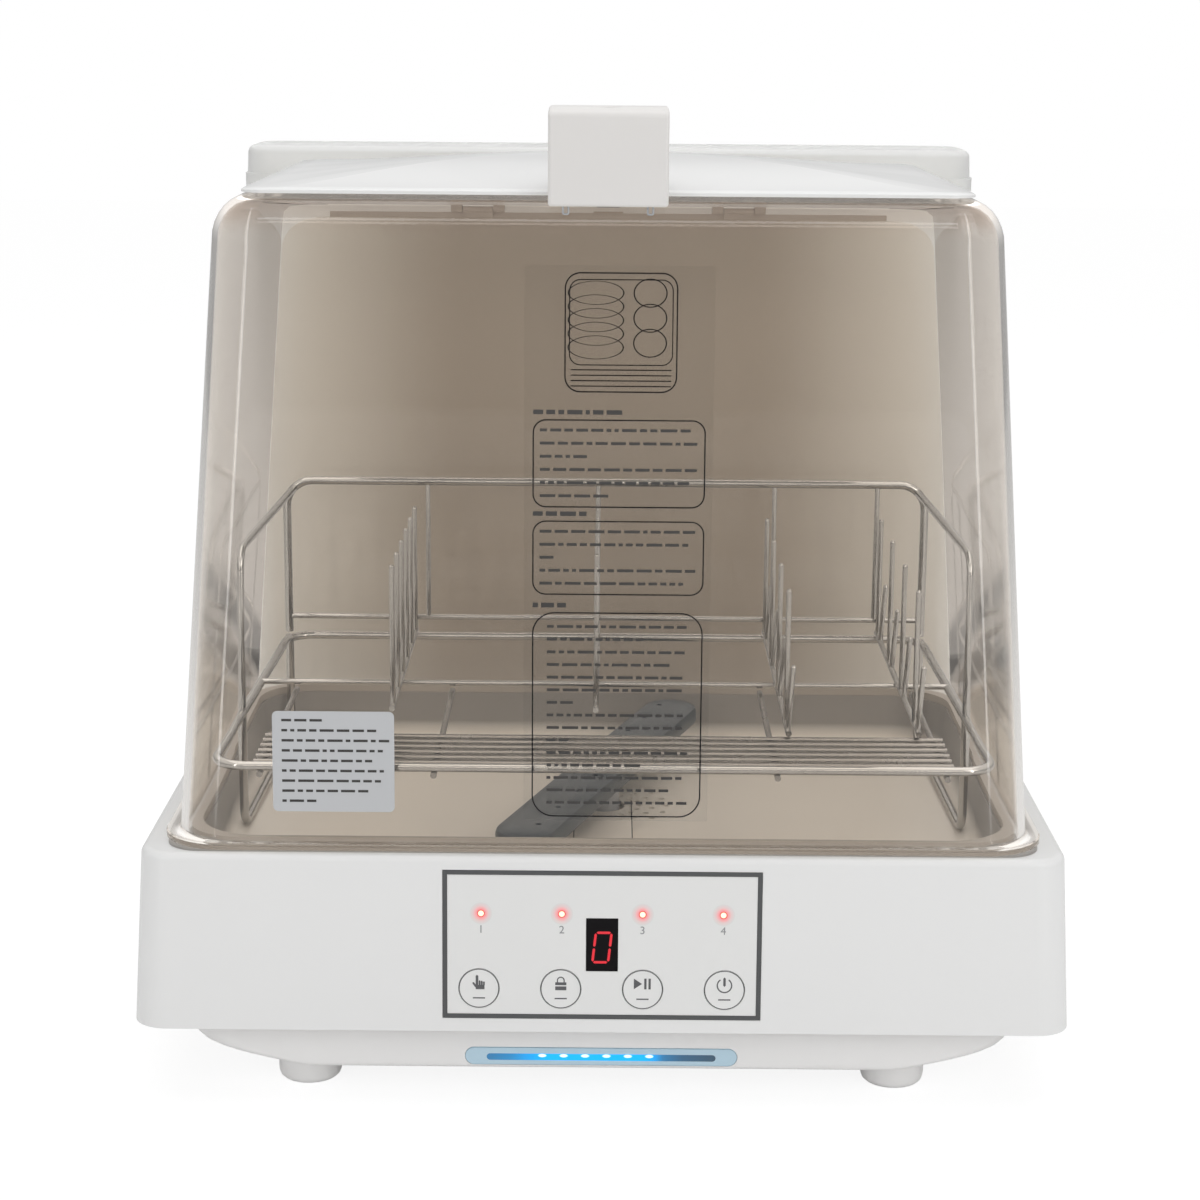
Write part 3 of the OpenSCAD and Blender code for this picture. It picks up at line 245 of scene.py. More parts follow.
def shader_mix(tree, share, one, two):
    mix = add(tree, "ShaderNodeMixShader")
    link(tree, (share, mix.inputs["Fac"]), (one, mix.inputs[1]), (two, mix.inputs[2]))
    return mix.outputs["Shader"]


def let_rays_by(tree, shader, tint):
    bypass = add(tree, "ShaderNodeBsdfTransparent", {"Color": (*tint, 1)})
    rays = add(tree, "ShaderNodeLightPath").outputs
    mirrored = add(tree, "ShaderNodeMath", operation="SUBTRACT", use_clamp=True)
    link(tree, (rays["Is Glossy Ray"], mirrored.inputs[0]),
         (rays["Is Transmission Ray"], mirrored.inputs[1]))
    chosen = mirrored.outputs["Value"]
    for kind in ("Is Shadow Ray", "Is Diffuse Ray"):
        chosen = either(tree, chosen, rays[kind])
    surface = shader_mix(tree, chosen, shader.outputs["BSDF"], bypass.outputs["BSDF"])
    link(tree, (surface, tree.nodes["Material Output"].inputs["Surface"]))


def see_through(name, tint, polish, bend, bypass, clear=1.0):
    finish, tree, shader = new_finish(name)
    shader.inputs["Base Color"].default_value = (*tint, 1)
    shader.inputs["Transmission Weight"].default_value = clear
    shader.inputs["IOR"].default_value = bend
    drift(tree, noise_over(tree, 14.0), polish, polish * 1.5 + 0.004, shader.inputs["Roughness"])
    let_rays_by(tree, shader, bypass)
    return finish


smoky = see_through("smoky", (0.85, 0.80, 0.74), 0.008, 1.38, (0.99, 0.98, 0.965))
film_clear = see_through("film_clear", (0.955, 0.96, 0.965), 0.004, 1.05, (0.98, 0.98, 0.98))
frosted = see_through("frosted", (0.90, 0.90, 0.885), 0.30, 1.22, (0.96, 0.96, 0.96), 0.6)
# The back wall's tint is dark in its middle and grows paler towards its sides: painted shade and
# painted light, for the light that comes in from the sides.
smoky_shaded_back = see_through("smoky_shaded_back", (0.60, 0.535, 0.475), 0.02, 1.30, (0.92, 0.90, 0.88))
tint_over(smoky_shaded_back, ramp(smoky_shaded_back, "X", 75, 175), (0.97, 0.93, 0.88))
# The hood's tint grows paler towards its corners, painted light. Its tint is darker
# along the shoulder, painted shade.
tint_over(smoky, ramp(smoky, "X", 116, 170), (0.935, 0.90, 0.86))
tint_over(smoky, ramp(smoky, "Z", 398, 413), (0.74, 0.655, 0.585))
# The sides of the hood are drawn over the tool and are less clear than its front.
haze = ramp(smoky, "X", 168, 182, low=0.010, high=0.09)
link(smoky.node_tree, (haze, sockets(smoky)["Roughness"]))
print("clear finishes made")


# %% [markdown]
# ## Lit pieces
# Lamps, the digit and the light strip give off their own colour. Their strength
# is one or less, so that they look lit and still keep their hue. A real lamp is
# brightest in its middle. That could be a pattern in the finish, but the mesh of
# a lamp is made of rings, so each ring carries a share named "glow" instead.

# %% Finishes that give light
def lit(name, colour, glow, strength):
    finish, tree, shader = new_finish(name)
    shade_drift(tree, noise_over(tree, 60.0), colour, 0.08, shader.inputs["Base Color"])
    shader.inputs["Emission Color"].default_value = (*glow, 1)
    shader.inputs["Emission Strength"].default_value = strength
    shader.inputs["Roughness"].default_value = 0.3
    return finish


def lit_spot(name, rim, core, rim_glow, core_glow):
    finish = lit(name, core, core_glow, 1.0)
    tree = finish.node_tree
    share = add(tree, "ShaderNodeAttribute", attribute_name="glow").outputs["Fac"]
    for socket, low, high in (("Base Color", rim, core), ("Emission Color", rim_glow, core_glow)):
        colour_mix(tree, share, low, high, sockets(finish)[socket])
    return finish


lamp_red = lit_spot("lamp_red", (0.30, 0.01, 0.01), (0.9, 0.6, 0.4),
                    (0.45, 0.01, 0.01), (1.0, 0.85, 0.62))
lamp_halo = lit_spot("lamp_halo", (0.80, 0.80, 0.79), (0.80, 0.30, 0.30),
                     (0.0, 0.0, 0.0), (0.35, 0.04, 0.05))
spot_white = lit_spot("spot_white", (0.0, 0.3, 0.6), (0.8, 0.9, 1.0),
                      (0.0, 0.35, 0.9), (0.85, 1.0, 1.0))
slot_blue = lit_spot("slot_blue", (0.055, 0.085, 0.12), (0.0, 0.30, 0.60),
                     (0.01, 0.03, 0.05), (0.0, 0.33, 0.85))
digit_red = lit("digit_red", (0.5, 0.01, 0.02), (1.0, 0.03, 0.05), 0.42)
strip_pale = lit("strip_pale", (0.55, 0.72, 0.82), (0.3, 0.6, 0.9), 0.06)
print("lit finishes made")


# %% [markdown]
# ## Lofted shells
# Most mouldings here are stacks of rounded rectangles, as seen from above. They
# could be boxes with a bevel, but a bevel can't follow walls that lean and rims
# that roll over. One helper draws such an outline and another skins a stack of
# them, so a shell is a short list that says how wide and deep it is at each height.

# %% Outlines and lofts
CORNER_STEPS = 10
BASE_FRONT, BASE_REAR = -187.0, 187.0


def back(distance):
    return BASE_FRONT + distance


def outline(half, front, rear, radius, z):
    ring = []
    for side_x, side_y, start in ((1, 0, -90), (1, 1, 0), (-1, 1, 90), (-1, 0, 180)):
        x = side_x * (half - radius)
        y = rear - radius if side_y else front + radius
        for i in range(CORNER_STEPS + 1):
            a = radians(start + 90 * i / CORNER_STEPS)
            ring.append((x + radius * cos(a), y + radius * sin(a), z))
    return ring


def band(shape, low, high, closed=True):
    for i in range(len(low) - (0 if closed else 1)):
        k = (i + 1) % len(low)
        shape.faces.new((low[i], low[k], high[k], high[i]))


def loft(rings, closed_section=False, open_rings=False):
    shape = bmesh.new()
    rows = [[shape.verts.new(Vector(p) * MM) for p in ring] for ring in rings]
    for low, high in zip(rows, rows[1:]):
        band(shape, low, high, not open_rings)
    if closed_section:
        band(shape, rows[-1], rows[0], not open_rings)
    if open_rings:
        shape.faces.new([row[0] for row in rows])
        shape.faces.new([row[-1] for row in reversed(rows)])
    elif not closed_section:
        shape.faces.new(list(reversed(rows[0])))
        shape.faces.new(rows[-1])
    bmesh.ops.recalc_face_normals(shape, faces=shape.faces)
    return shape


print("helpers that draw shells are ready")


# %% Pieces, rods, blocks and cuts
SHARP, BEVELLED = radians(34), radians(40)
UPRIGHT = Matrix.Rotation(pi / 2, 4, "X")


def as_mesh(shape, name="part"):
    mesh = bpy.data.meshes.new(name)
    shape.to_mesh(mesh)
    shape.free()
    return mesh


def joined(meshes):
    shape = bmesh.new()
    for mesh in meshes:
        shape.from_mesh(mesh)
    return shape


def make_piece(name, shape, finish, body, slot, *stands_for):
    mesh = as_mesh(shape, name) if isinstance(shape, bmesh.types.BMesh) else shape
    mesh.materials.clear()
    mesh.materials.append(finish)
    mesh.shade_smooth()
    mesh.set_sharp_from_angle(angle=SHARP)
    piece = bpy.data.objects.new(name, mesh)
    scene.collection.objects.link(piece)
    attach(piece, body)
    if stands_for:
        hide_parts(*stands_for)
    print(name, "faces:", len(mesh.polygons))
    return piece


def soften(piece, width, segments=3):
    bevel = piece.modifiers.new("soft_edges", "BEVEL")
    bevel.width = width * MM
    bevel.segments = segments
    bevel.limit_method = "ANGLE"
    bevel.angle_limit = BEVELLED


def rod(shape, low, high, radius, steps=32):
    low, high = Vector(low), Vector(high)
    turn = (high - low).to_track_quat("Z", "Y").to_matrix().to_4x4()
    bmesh.ops.create_cone(shape, cap_ends=True, segments=steps, radius1=radius * MM,
                          radius2=radius * MM, depth=(high - low).length * MM,
                          matrix=Matrix.Translation((low + high) / 2 * MM) @ turn)


def block(shape, low, high, place=None):
    low, high = Vector(low) * MM, Vector(high) * MM
    for v in bmesh.ops.create_cube(shape, size=1.0)["verts"]:
        v.co = Vector([low[i] + (v.co[i] + 0.5) * (high[i] - low[i]) for i in range(3)])
        if place:
            v.co = place @ v.co


def plain_mesh(holder, *helpers):
    for thing in (holder, *helpers):
        scene.collection.objects.link(thing)
    view = bpy.context.evaluated_depsgraph_get()
    mesh = bpy.data.meshes.new_from_object(holder.evaluated_get(view))
    for thing in (holder, *helpers):
        bpy.data.objects.remove(thing)
    return mesh


def cut(shape, *cutters):
    stock, *tools = [bpy.data.objects.new("cut", as_mesh(source)) for source in (shape, *cutters)]
    for tool in tools:
        boolean = stock.modifiers.new("cut", "BOOLEAN")
        boolean.operation = "DIFFERENCE"
        boolean.solver = "EXACT"
        boolean.object = tool
    return plain_mesh(stock, *tools)


print("helpers that make pieces are ready")

# %% [markdown]
# ## The leaning front face
# The front of the base leans back a few degrees, and the control panel lies in
# its plane. Each part of the panel could be turned by hand, but one matrix carries
# anything drawn flat, with x across, y into the machine and z up the face, onto
# that plane, so nothing drifts off it.

# %% Frame of the front face
SKIRT, DECK, ROUND = 38.0, 121.0, 3.5
FRONT_DRAFT, SIDE_DRAFT = 4.5, 4.0
HALF = 217.0
face_lean = atan(FRONT_DRAFT / (DECK - SKIRT - ROUND))
on_face = Matrix.Translation(Vector((0, BASE_FRONT, SKIRT)) * MM)
on_face = on_face @ Matrix.Rotation(-face_lean, 4, "X")
print("front face leans", round(face_lean * 180 / pi, 2), "degrees")

# %% [markdown]
# ## The base shell
# The shell is one skin, drawn as a closed section: up the outside, over the
# rounded edge, across the deck, down round the tub's opening and back inside.
# The recess of the panel, the vents and the sockets are cut by a Boolean, as a
# tool cuts them, because a loft alone can't have holes in its side.

# %% Base shell
WALL, CORNER = 2.5, 16.0
TUB_HALF, TUB_FRONT, TUB_REAR, TUB_CORNER = 188.0, back(19), back(280), 30.0
deck_half, deck_front = HALF - SIDE_DRAFT, back(FRONT_DRAFT)
levels = [outline(HALF - WALL, BASE_FRONT + WALL, BASE_REAR - WALL, CORNER - WALL, SKIRT),
          outline(HALF, BASE_FRONT, BASE_REAR, CORNER, SKIRT)]
for i in range(7):
    a = radians(15 * i)
    pull = ROUND * (1 - cos(a))
    levels.append(outline(deck_half - pull, deck_front + pull, BASE_REAR - pull,
                          CORNER - pull * 0.5, DECK - ROUND + ROUND * sin(a)))
for z in (DECK, DECK - WALL):
    levels.append(outline(TUB_HALF + WALL, TUB_FRONT - WALL, TUB_REAR + WALL,
                          TUB_CORNER + WALL, z))
levels.append(outline(deck_half - WALL, deck_front + WALL, BASE_REAR - WALL, CORNER - WALL,
                      DECK - WALL))
base_shape = loft(levels, closed_section=True)
print("base levels:", len(levels))

# %% Recess, vents and sockets of the base
PANEL_W, PANEL_H, PANEL_RISE = 146.0, 70.0, 6.5
PLATE_DEEP, LEDGE, FIT = 1.5, 4.0, 0.2
VENTS, VENT_PITCH, VENT_WIDE, VENT_Z = 9, 8, 3, (50, 90)
INLET_X, INLET_Z = (136, 164), (56, 76)
OUTLET_X, OUTLET_Z, OUTLET_R = -150, 62, 8
PORT_X, PORT_Y, PORT_R = -60, back(323), 6.2
inside, outside = BASE_REAR - WALL - 1, BASE_REAR + 1
recess, openings = bmesh.new(), bmesh.new()
block(recess, (-PANEL_W / 2 - FIT, -2, PANEL_RISE - FIT),
      (PANEL_W / 2 + FIT, PLATE_DEEP, PANEL_RISE + PANEL_H + FIT), on_face)
block(openings, (-PANEL_W / 2 + LEDGE, 0, PANEL_RISE + LEDGE),
      (PANEL_W / 2 - LEDGE, WALL + 2, PANEL_RISE + PANEL_H - LEDGE), on_face)
for i in range(VENTS):
    x = 96 - i * VENT_PITCH
    block(openings, (x, inside, VENT_Z[0]), (x + VENT_WIDE, outside, VENT_Z[1]))
block(openings, (INLET_X[0], inside, INLET_Z[0]), (INLET_X[1], outside, INLET_Z[1]))
rod(openings, (OUTLET_X, inside, OUTLET_Z), (OUTLET_X, outside, OUTLET_Z), OUTLET_R)
rod(openings, (PORT_X, PORT_Y, DECK - WALL - 1), (PORT_X, PORT_Y, DECK + 1), PORT_R)
make_piece("base_housing", cut(base_shape, recess, openings), white_gloss, "base",
           "white_plastic", "base_shell")


# %% [markdown]
# ## The bottom pan and the feet
# Under the base a narrower pan curves in to the feet. Its levels are few, so a
# smooth curve is run through them before it is skinned, which gives an even curve
# without a long table. A foot is turned round its own axis from a short profile.

# %% Bottom pan
def smooth_levels(levels, steps=6):
    fine = []
    for i in range(len(levels) - 1):
        ends = [levels[max(0, min(len(levels) - 1, i + k))] for k in (-1, 0, 1, 2)]
        for s in range(steps):
            t = s / steps
            fine.append([0.5 * (2 * b + (c - a) * t + (2 * a - 5 * b + 4 * c - d) * t * t
                                + (3 * b - a - 3 * c + d) * t ** 3)
                         for a, b, c, d in zip(*ends)])
    fine.append(list(levels[-1]))
    return fine


def stadium(reach, r, steps):
    spots = []
    for side in (1, -1):
        for i in range(steps + 1):
            a = radians(-90 + 180 * i / steps) + (0 if side > 0 else pi)
            spots.append((side * reach + r * cos(a), r * sin(a)))
    return spots


def capsule(width, height, y_from, y_to, z):
    r = height / 2
    return loft([[(x, y, z + rise) for x, rise in stadium(width / 2 - r, r, 16)]
                 for y in (y_from, y_to)])


LIGHT_Z, LIGHT_W, LIGHT_H, LIGHT_FIT = 20.3, 127.0, 8.4, 0.4
pan_front = back(14)
pan_levels = [(13.5, 152, back(18), 159, 24), (15.5, 160, pan_front, 167, 24),
              (24.0, 190, pan_front, 173, 24), (38.0, 196, pan_front, 173, 24)]
pan_rings = [outline(h, f, r, c, z) for z, h, f, r, c in smooth_levels(pan_levels)]
pan_rings += [outline(h - WALL, f + WALL, r - WALL, c - WALL, z + (WALL if i else 0))
              for i, (z, h, f, r, c) in enumerate(reversed(pan_levels))]
light_tool = capsule(LIGHT_W + LIGHT_FIT, LIGHT_H + LIGHT_FIT, pan_front - 3, pan_front + 6, LIGHT_Z)
# The pan takes the lighter white, painted light against the shade under the base.
make_piece("curved_pan", cut(loft(pan_rings), light_tool), white_with_painted_light, "base", "white_plastic",
           "bottom_pan")

# %% Feet
FOOT_X, FOOT_Y, FOOT_STEPS = 139, back(40), 48
FOOT_PROFILE = [(11.5, 0), (13, 0.3), (14.2, 1.4), (14.8, 3), (15, 5), (15, 13.5)]
feet = []
for x in (-FOOT_X, FOOT_X):
    for y in (FOOT_Y, -FOOT_Y):
        turns = [2 * pi * i / FOOT_STEPS for i in range(FOOT_STEPS)]
        feet.append(as_mesh(loft([[(x + r * cos(a), y + r * sin(a), z) for a in turns]
                                  for r, z in FOOT_PROFILE])))
make_piece("round_feet", joined(feet), white_with_painted_light, "base", "white_plastic", "feet")

# %% [markdown]
# ## The wash tub
# The tub hangs in the deck by a thin flange. Its walls lean out a little, so
# that the moulding comes off its tool, and they turn into the floor in a round.
# The floor needs a round sump in a rounded rectangle. Each point of the outline
# is drawn in to the circle, so the skin stays one piece with no hole to patch.

# %% Wash tub
FLOOR, RIM, FLANGE_HALF = 98.0, 122.0, 201
TUB_WALL, FLOOR_ROUND = 2.0, 9.0
SUMP, SUMP_DEEP, ARM_HOLE = 40.2, 6.0, 8.2
arm_y = back(151)


def round_ring(radius, z, centre_y, like):
    ring = []
    for x, y, _ in like:
        way = Vector((x, y - centre_y)).normalized() * radius
        ring.append((way.x, centre_y + way.y, z))
    return ring


tub_rings = [outline(FLANGE_HALF, back(9), back(285), CORNER, z) for z in (DECK, RIM)]
tub_rings.append(outline(TUB_HALF, TUB_FRONT, TUB_REAR, TUB_CORNER, RIM))
for i in range(7):
    a = radians(15 * i)
    pull = TUB_WALL + FLOOR_ROUND * (1 - cos(a))
    tub_rings.append(outline(TUB_HALF - pull, TUB_FRONT + pull, TUB_REAR - pull, TUB_CORNER - 2,
                             FLOOR + FLOOR_ROUND - FLOOR_ROUND * sin(a)))
like, sump_floor = tub_rings[-1], FLOOR - SUMP_DEEP
for radius, z in ((SUMP, FLOOR), (SUMP, sump_floor), (ARM_HOLE, sump_floor),
                  (ARM_HOLE, sump_floor - TUB_WALL), (SUMP + TUB_WALL, sump_floor - TUB_WALL),
                  (SUMP + TUB_WALL, FLOOR - TUB_WALL)):
    tub_rings.append(round_ring(radius, z, arm_y, like))
for grow, corner, z in ((-1, TUB_CORNER - 1, FLOOR - TUB_WALL), (2, TUB_CORNER + 2, DECK)):
    tub_rings.append(outline(TUB_HALF + grow, TUB_FRONT - grow, TUB_REAR + grow, corner, z))
make_piece("wash_basin", loft(tub_rings, closed_section=True), tub_satin, "base",
           "tub_plastic", "wash_tub")


# %% [markdown]
# ## Dashes on the tub floor
# Short raised dashes stand on the floor at the front, to keep wet things from
# sliding. They are all alike, so a node tree sets the same dash at each point of
# a grid, and the grid's size and its number of rows stay open as named inputs.

# %% Helpers for node trees that make shapes
def new_tree(name, inputs):
    tree = bpy.data.node_groups.new(name, "GeometryNodeTree")
    tree.interface.new_socket("Geometry", in_out="INPUT", socket_type="NodeSocketGeometry")
    tree.interface.new_socket("Geometry", in_out="OUTPUT", socket_type="NodeSocketGeometry")
    for label, kind in inputs.items():
        tree.interface.new_socket(label, in_out="INPUT", socket_type="NodeSocket" + kind)
    print("tree", name, "takes", ", ".join(inputs))
    return tree, add(tree, "NodeGroupInput").outputs, add(tree, "NodeGroupOutput").inputs


def finish_tree(tree, given, result, geometry):
    real = add(tree, "GeometryNodeRealizeInstances")
    coat = add(tree, "GeometryNodeSetMaterial")
    link(tree, (geometry, real.inputs["Geometry"]),
         (real.outputs["Geometry"], coat.inputs["Geometry"]),
         (given["Finish"], coat.inputs["Material"]),
         (coat.outputs["Geometry"], result["Geometry"]))


def run_tree(holder, tree, values):
    modifier = holder.modifiers.new(tree.name, "NODES")
    modifier.node_group = tree
    for item in tree.interface.items_tree:
        if item.in_out == "INPUT" and item.name in values:
            modifier[item.identifier] = values[item.name]
    return plain_mesh(holder)


print("helpers for node trees are ready")

# %% Raised dashes
DASH_SIZE = (1.5, 0.8, 0.45)
dash_tree, given, result = new_tree("floor_dashes", {
    "Width": "Float", "Depth": "Float", "Columns": "Int", "Rows": "Int", "Dash": "Vector",
    "Finish": "Material"})
grid = add(dash_tree, "GeometryNodeMeshGrid")
dash = add(dash_tree, "GeometryNodeMeshIcoSphere", {"Subdivisions": 2})
lay = add(dash_tree, "GeometryNodeInstanceOnPoints")
link(dash_tree, (given["Width"], grid.inputs["Size X"]), (given["Depth"], grid.inputs["Size Y"]),
     (given["Columns"], grid.inputs["Vertices X"]), (given["Rows"], grid.inputs["Vertices Y"]),
     (grid.outputs["Mesh"], lay.inputs["Points"]), (dash.outputs["Mesh"], lay.inputs["Instance"]),
     (given["Dash"], lay.inputs["Scale"]))
finish_tree(dash_tree, given, result, lay.outputs["Instances"])


def dashes(x, y, width, depth, columns, rows):
    holder = bpy.data.objects.new("dashes", bpy.data.meshes.new("dashes"))
    mesh = run_tree(holder, dash_tree, {
        "Width": width * MM, "Depth": depth * MM, "Columns": columns, "Rows": rows,
        "Dash": Vector(DASH_SIZE) * MM, "Finish": tub_satin})
    mesh.transform(Matrix.Translation(Vector((x, y, FLOOR)) * MM))
    return mesh


floor_dashes = joined([dashes(side * 118, back(62), 91, 49, 14, 8) for side in (-1, 1)])
make_piece("tub_dashes", floor_dashes, tub_satin, "base", "tub_plastic")

# %% [markdown]
# ## Seams of the feed channel
# A flat channel runs from the front of the floor to the sump, and its cover meets
# the floor in two thin seams. They could be grooves, but a groove so fine needs
# many faces, so each is a narrow dark strip that lies on the joint. Its near black
# is painted shade, for the shadow in the gap.

# %% Two dark seams
SEAM_X, SEAM_WIDE, SEAM_PROUD = (-14.7, 14.1), 0.6, 0.15
plate_top = max((nodes["filter_plate"].matrix_world @ v.co).z
                for v in nodes["filter_plate"].data.vertices) / MM
seams = bmesh.new()
for x in SEAM_X:
    block(seams, (x, back(32), FLOOR - 0.1), (x + SEAM_WIDE, back(158), plate_top + SEAM_PROUD))
make_piece("channel_seams", seams, seam_shade_brown, "base", "tub_plastic")


# %% [markdown]
# ## The spray arm
# A flat hollow arm with round ends turns over the filter. Its edges are soft, and
# a shallow ridge runs along it, because it is welded from two halves. It is
# lofted from one outline that is pulled in step by step, and then drilled.

# %% Spray arm
ARM_REACH, ARM_WIDTH, ARM_LOW, ARM_TURN = 126.0, 29.0, 112.0, radians(71)
ARM_LEVELS = ((2, 0), (0.6, 0.5), (0, 2), (0, 7), (0.8, 9), (2.6, 9.9), (5, 10.1), (7, 10.6))
HUB_R, JET_R, JET_PITCH, JET_OFF, DRILL_Z = 5.08, 1.5, 27, 5, 121
arm_shape = loft([[(x, y, ARM_LOW + z)
                   for x, y in stadium(ARM_REACH - ARM_WIDTH / 2, ARM_WIDTH / 2 - pull, 14)]
                  for pull, z in ARM_LEVELS])
drill = bmesh.new()
rod(drill, (0, 0, DRILL_Z - 15), (0, 0, DRILL_Z + 15), HUB_R)
for side in (-1, 1):
    for i in range(1, 5):
        x, y = side * i * JET_PITCH, side * JET_OFF
        rod(drill, (x, y, DRILL_Z - 3.5), (x, y, DRILL_Z + 3.5), JET_R)
arm_mesh = cut(arm_shape, drill)
arm_mesh.transform(Matrix.Translation(Vector((0, arm_y, 0)) * MM)
                   @ Matrix.Rotation(ARM_TURN, 4, "Z"))
make_piece("spray_blade", arm_mesh, slate, "spray", "slate_plastic", "spray_arm")

# %% [markdown]
# ## The smoky hood
# The hood has a front and two sides in one moulding, a flange round its foot and
# shoulders that roll over into a narrow roof. Its section is closed and is swept
# round three sides, so the wall has a real thickness that bends what lies behind.

# %% Hood shell
HOOD_REAR, FOOT = back(286), 122.3
SHOULDER_Z, SHOULDER, HOOD_CORNER = 396.0, 22.0, 26
FOOT_HALF, SHOULDER_HALF = 197, 177.5
HOOD_FLANGE = ((203.5, 7, 28.5, 0), (203.5, 7, 28.5, 2.4), (202.9, 7.6, 28.2, 3),
               (198.6, 11, 26.6, 3.2), (197.4, 11.8, 26.2, 4))


def hood_ring(half, front, radius, z):
    ring = [(half, HOOD_REAR, z), (half, front + radius, z)]
    for i in range(1, 2 * CORNER_STEPS + 1):
        a = radians(-90 * i / (2 * CORNER_STEPS))
        ring.append((half - radius + radius * cos(a), front + radius + radius * sin(a), z))
    return ring + [(-x, y, z) for x, y, z in reversed(ring)]


def hood_side(inset, foot_z):
    reach, corner = SHOULDER - inset, HOOD_CORNER - inset
    rings = [hood_ring(FOOT_HALF - inset, back(12) + inset, corner, foot_z)]
    for i in range(9):
        a = radians(11.25 * i)
        pull = reach * (1 - cos(a))
        rings.append(hood_ring(SHOULDER_HALF - inset - pull, back(21) + inset + 6 * (1 - cos(a)),
                               max(3, corner - pull), SHOULDER_Z + reach * sin(a)))
    return rings + [hood_ring(151, back(39), 8, SHOULDER_Z + reach)]


hood_rings = [hood_ring(half, back(front), radius, FOOT + rise)
              for half, front, radius, rise in HOOD_FLANGE]
hood_rings += hood_side(0, FOOT + 5.5) + list(reversed(hood_side(WALL, FOOT)))
make_piece("smoky_hood", loft(hood_rings, closed_section=True, open_rings=True), smoky, "hood",
           "smoke_plastic", "hood_shell")


# %% [markdown]
# ## The fixed rear wall
# A flat smoky plate stands behind the rack. It stays when the hood goes up. It is
# narrower at its top, as the hood is, so its outline is drawn once with round top
# corners and pushed back by its thickness.

# %% Rear wall
def hood_half(z):
    return FOOT_HALF + (SHOULDER_HALF - FOOT_HALF) * (z - FOOT) / (SHOULDER_Z - FOOT)


WALL_TOP, WALL_CORNER, WALL_Y = 395.0, 25.0, (back(286.6), back(289.6))
high_half = hood_half(WALL_TOP) - 1
edge = [(-hood_half(RIM) + 1, DECK), (hood_half(RIM) - 1, DECK)]
for start, side in ((0, 1), (90, -1)):
    for i in range(13):
        a = radians(start + 7.5 * i)
        edge.append((side * (high_half - WALL_CORNER) + WALL_CORNER * cos(a),
                     WALL_TOP - WALL_CORNER + WALL_CORNER * sin(a)))
wall_shape = loft([[(x, y, z) for x, z in edge] for y in WALL_Y])
soften(make_piece("smoky_back", wall_shape, smoky_shaded_back, "base", "smoke_plastic", "rear_wall"), 0.6)


# %% [markdown]
# ## The white top panel
# The panel is a shallow dome. It could be sculpted, but rings of shrinking rounded
# rectangles that are lifted to the dome's height give its crown and its corners
# from one rule, and the same rule tells the handle how high it stands.

# %% Top panel
PANEL_HALF, PANEL_FRONT, TOP = 163.0, back(27), 418.0
CROWN_Y, CROWN, EDGE = back(95), 14.5, 1.5
FRONT_RIM, REAR_RIM = 2.5, 2.0


def dome_z(x, y, drop=0.0):
    u = x / PANEL_HALF
    ahead = y < CROWN_Y
    t = (CROWN_Y - y) / (CROWN_Y - PANEL_FRONT) if ahead else (y - CROWN_Y) / (HOOD_REAR - CROWN_Y)
    rim = FRONT_RIM if ahead else REAR_RIM
    return TOP + EDGE - drop + (1 - u * u) * (rim + (CROWN - EDGE - rim) * (1 - t * t))


def dome_ring(pull, share, drop=0.0, corner=14.0):
    middle = (PANEL_FRONT + HOOD_REAR) / 2
    ring = []
    for x, y, _ in outline(PANEL_HALF - pull, PANEL_FRONT + pull, HOOD_REAR - pull, corner, 0):
        x, y = x * share, middle + (y - middle) * share
        ring.append((x, y, dome_z(x, y, drop)))
    return ring


shares = [1.0] + [1 - 0.045 * i for i in range(1, 22)] + [0.02]
lid = [outline(PANEL_HALF, PANEL_FRONT, HOOD_REAR, 14, TOP)]
lid.append([(x, y, max(TOP, z - 0.5)) for x, y, z in dome_ring(0, 1.0)])
lid += [dome_ring(0.7, s) for s in shares]
lining = [outline(150, back(40), HOOD_REAR - WALL, 10, TOP)]
lining += [[(x, y, max(TOP + 0.4, z)) for x, y, z in dome_ring(13, s, WALL, 10)] for s in shares]
make_piece("domed_top", loft(list(reversed(lining)) + lid), white_gloss, "hood",
           "white_plastic", "top_panel")

# %% [markdown]
# ## The handle
# The handle is a solid block whose front hangs down over the edge of the hood.
# Its side view is drawn once and pushed across, which is how such a block is
# drawn on paper. Its edges are rounded last, so the rounding follows the drawing.

# %% Handle
HANDLE_HALF, HANDLE_TOP = 26.25, 456.5
WELL_Y, WELL_R, WELL_DEEP = back(31.6), 5.5, 4
side_view = [(14, 414), (19.4, 414), (19.4, 419), (23, 421.4)]
side_view += [(d, dome_z(0, back(d)) + 0.2) for d in (27.2, 32, 37, 42, 46)]
side_view += [(46, 455.6), (44, HANDLE_TOP), (30, HANDLE_TOP), (17, 455.6), (14, 453.6)]
handle_shape = loft([[(x, back(d), z) for d, z in side_view] for x in (-HANDLE_HALF, HANDLE_HALF)])
screw_well = bmesh.new()
rod(screw_well, (0, WELL_Y, HANDLE_TOP - WELL_DEEP), (0, WELL_Y, HANDLE_TOP + WELL_DEEP), WELL_R, 40)
grip = make_piece("grip", cut(handle_shape, screw_well), warm_white, "hood", "white_plastic",
                  "handle")
soften(grip, 1.4, 4)


# %% [markdown]
# ## The water tank
# The tank is frosted plastic, so what lies behind it is only a pale blur. Its lid
# drops over it with a thin seam between. Both are lofts of one rounded rectangle,
# and the tank is a real shell, because frosting on a solid block looks like milk.

# %% Tank and lid
TANK_HALF, TANK_FRONT, TANK_REAR, LID_SEAM = 199.0, back(301), back(366), 411.0
LID_ROUND = 4


def tank_ring(pull, corner, z):
    return outline(TANK_HALF - pull, TANK_FRONT + pull, TANK_REAR - pull, corner, z)


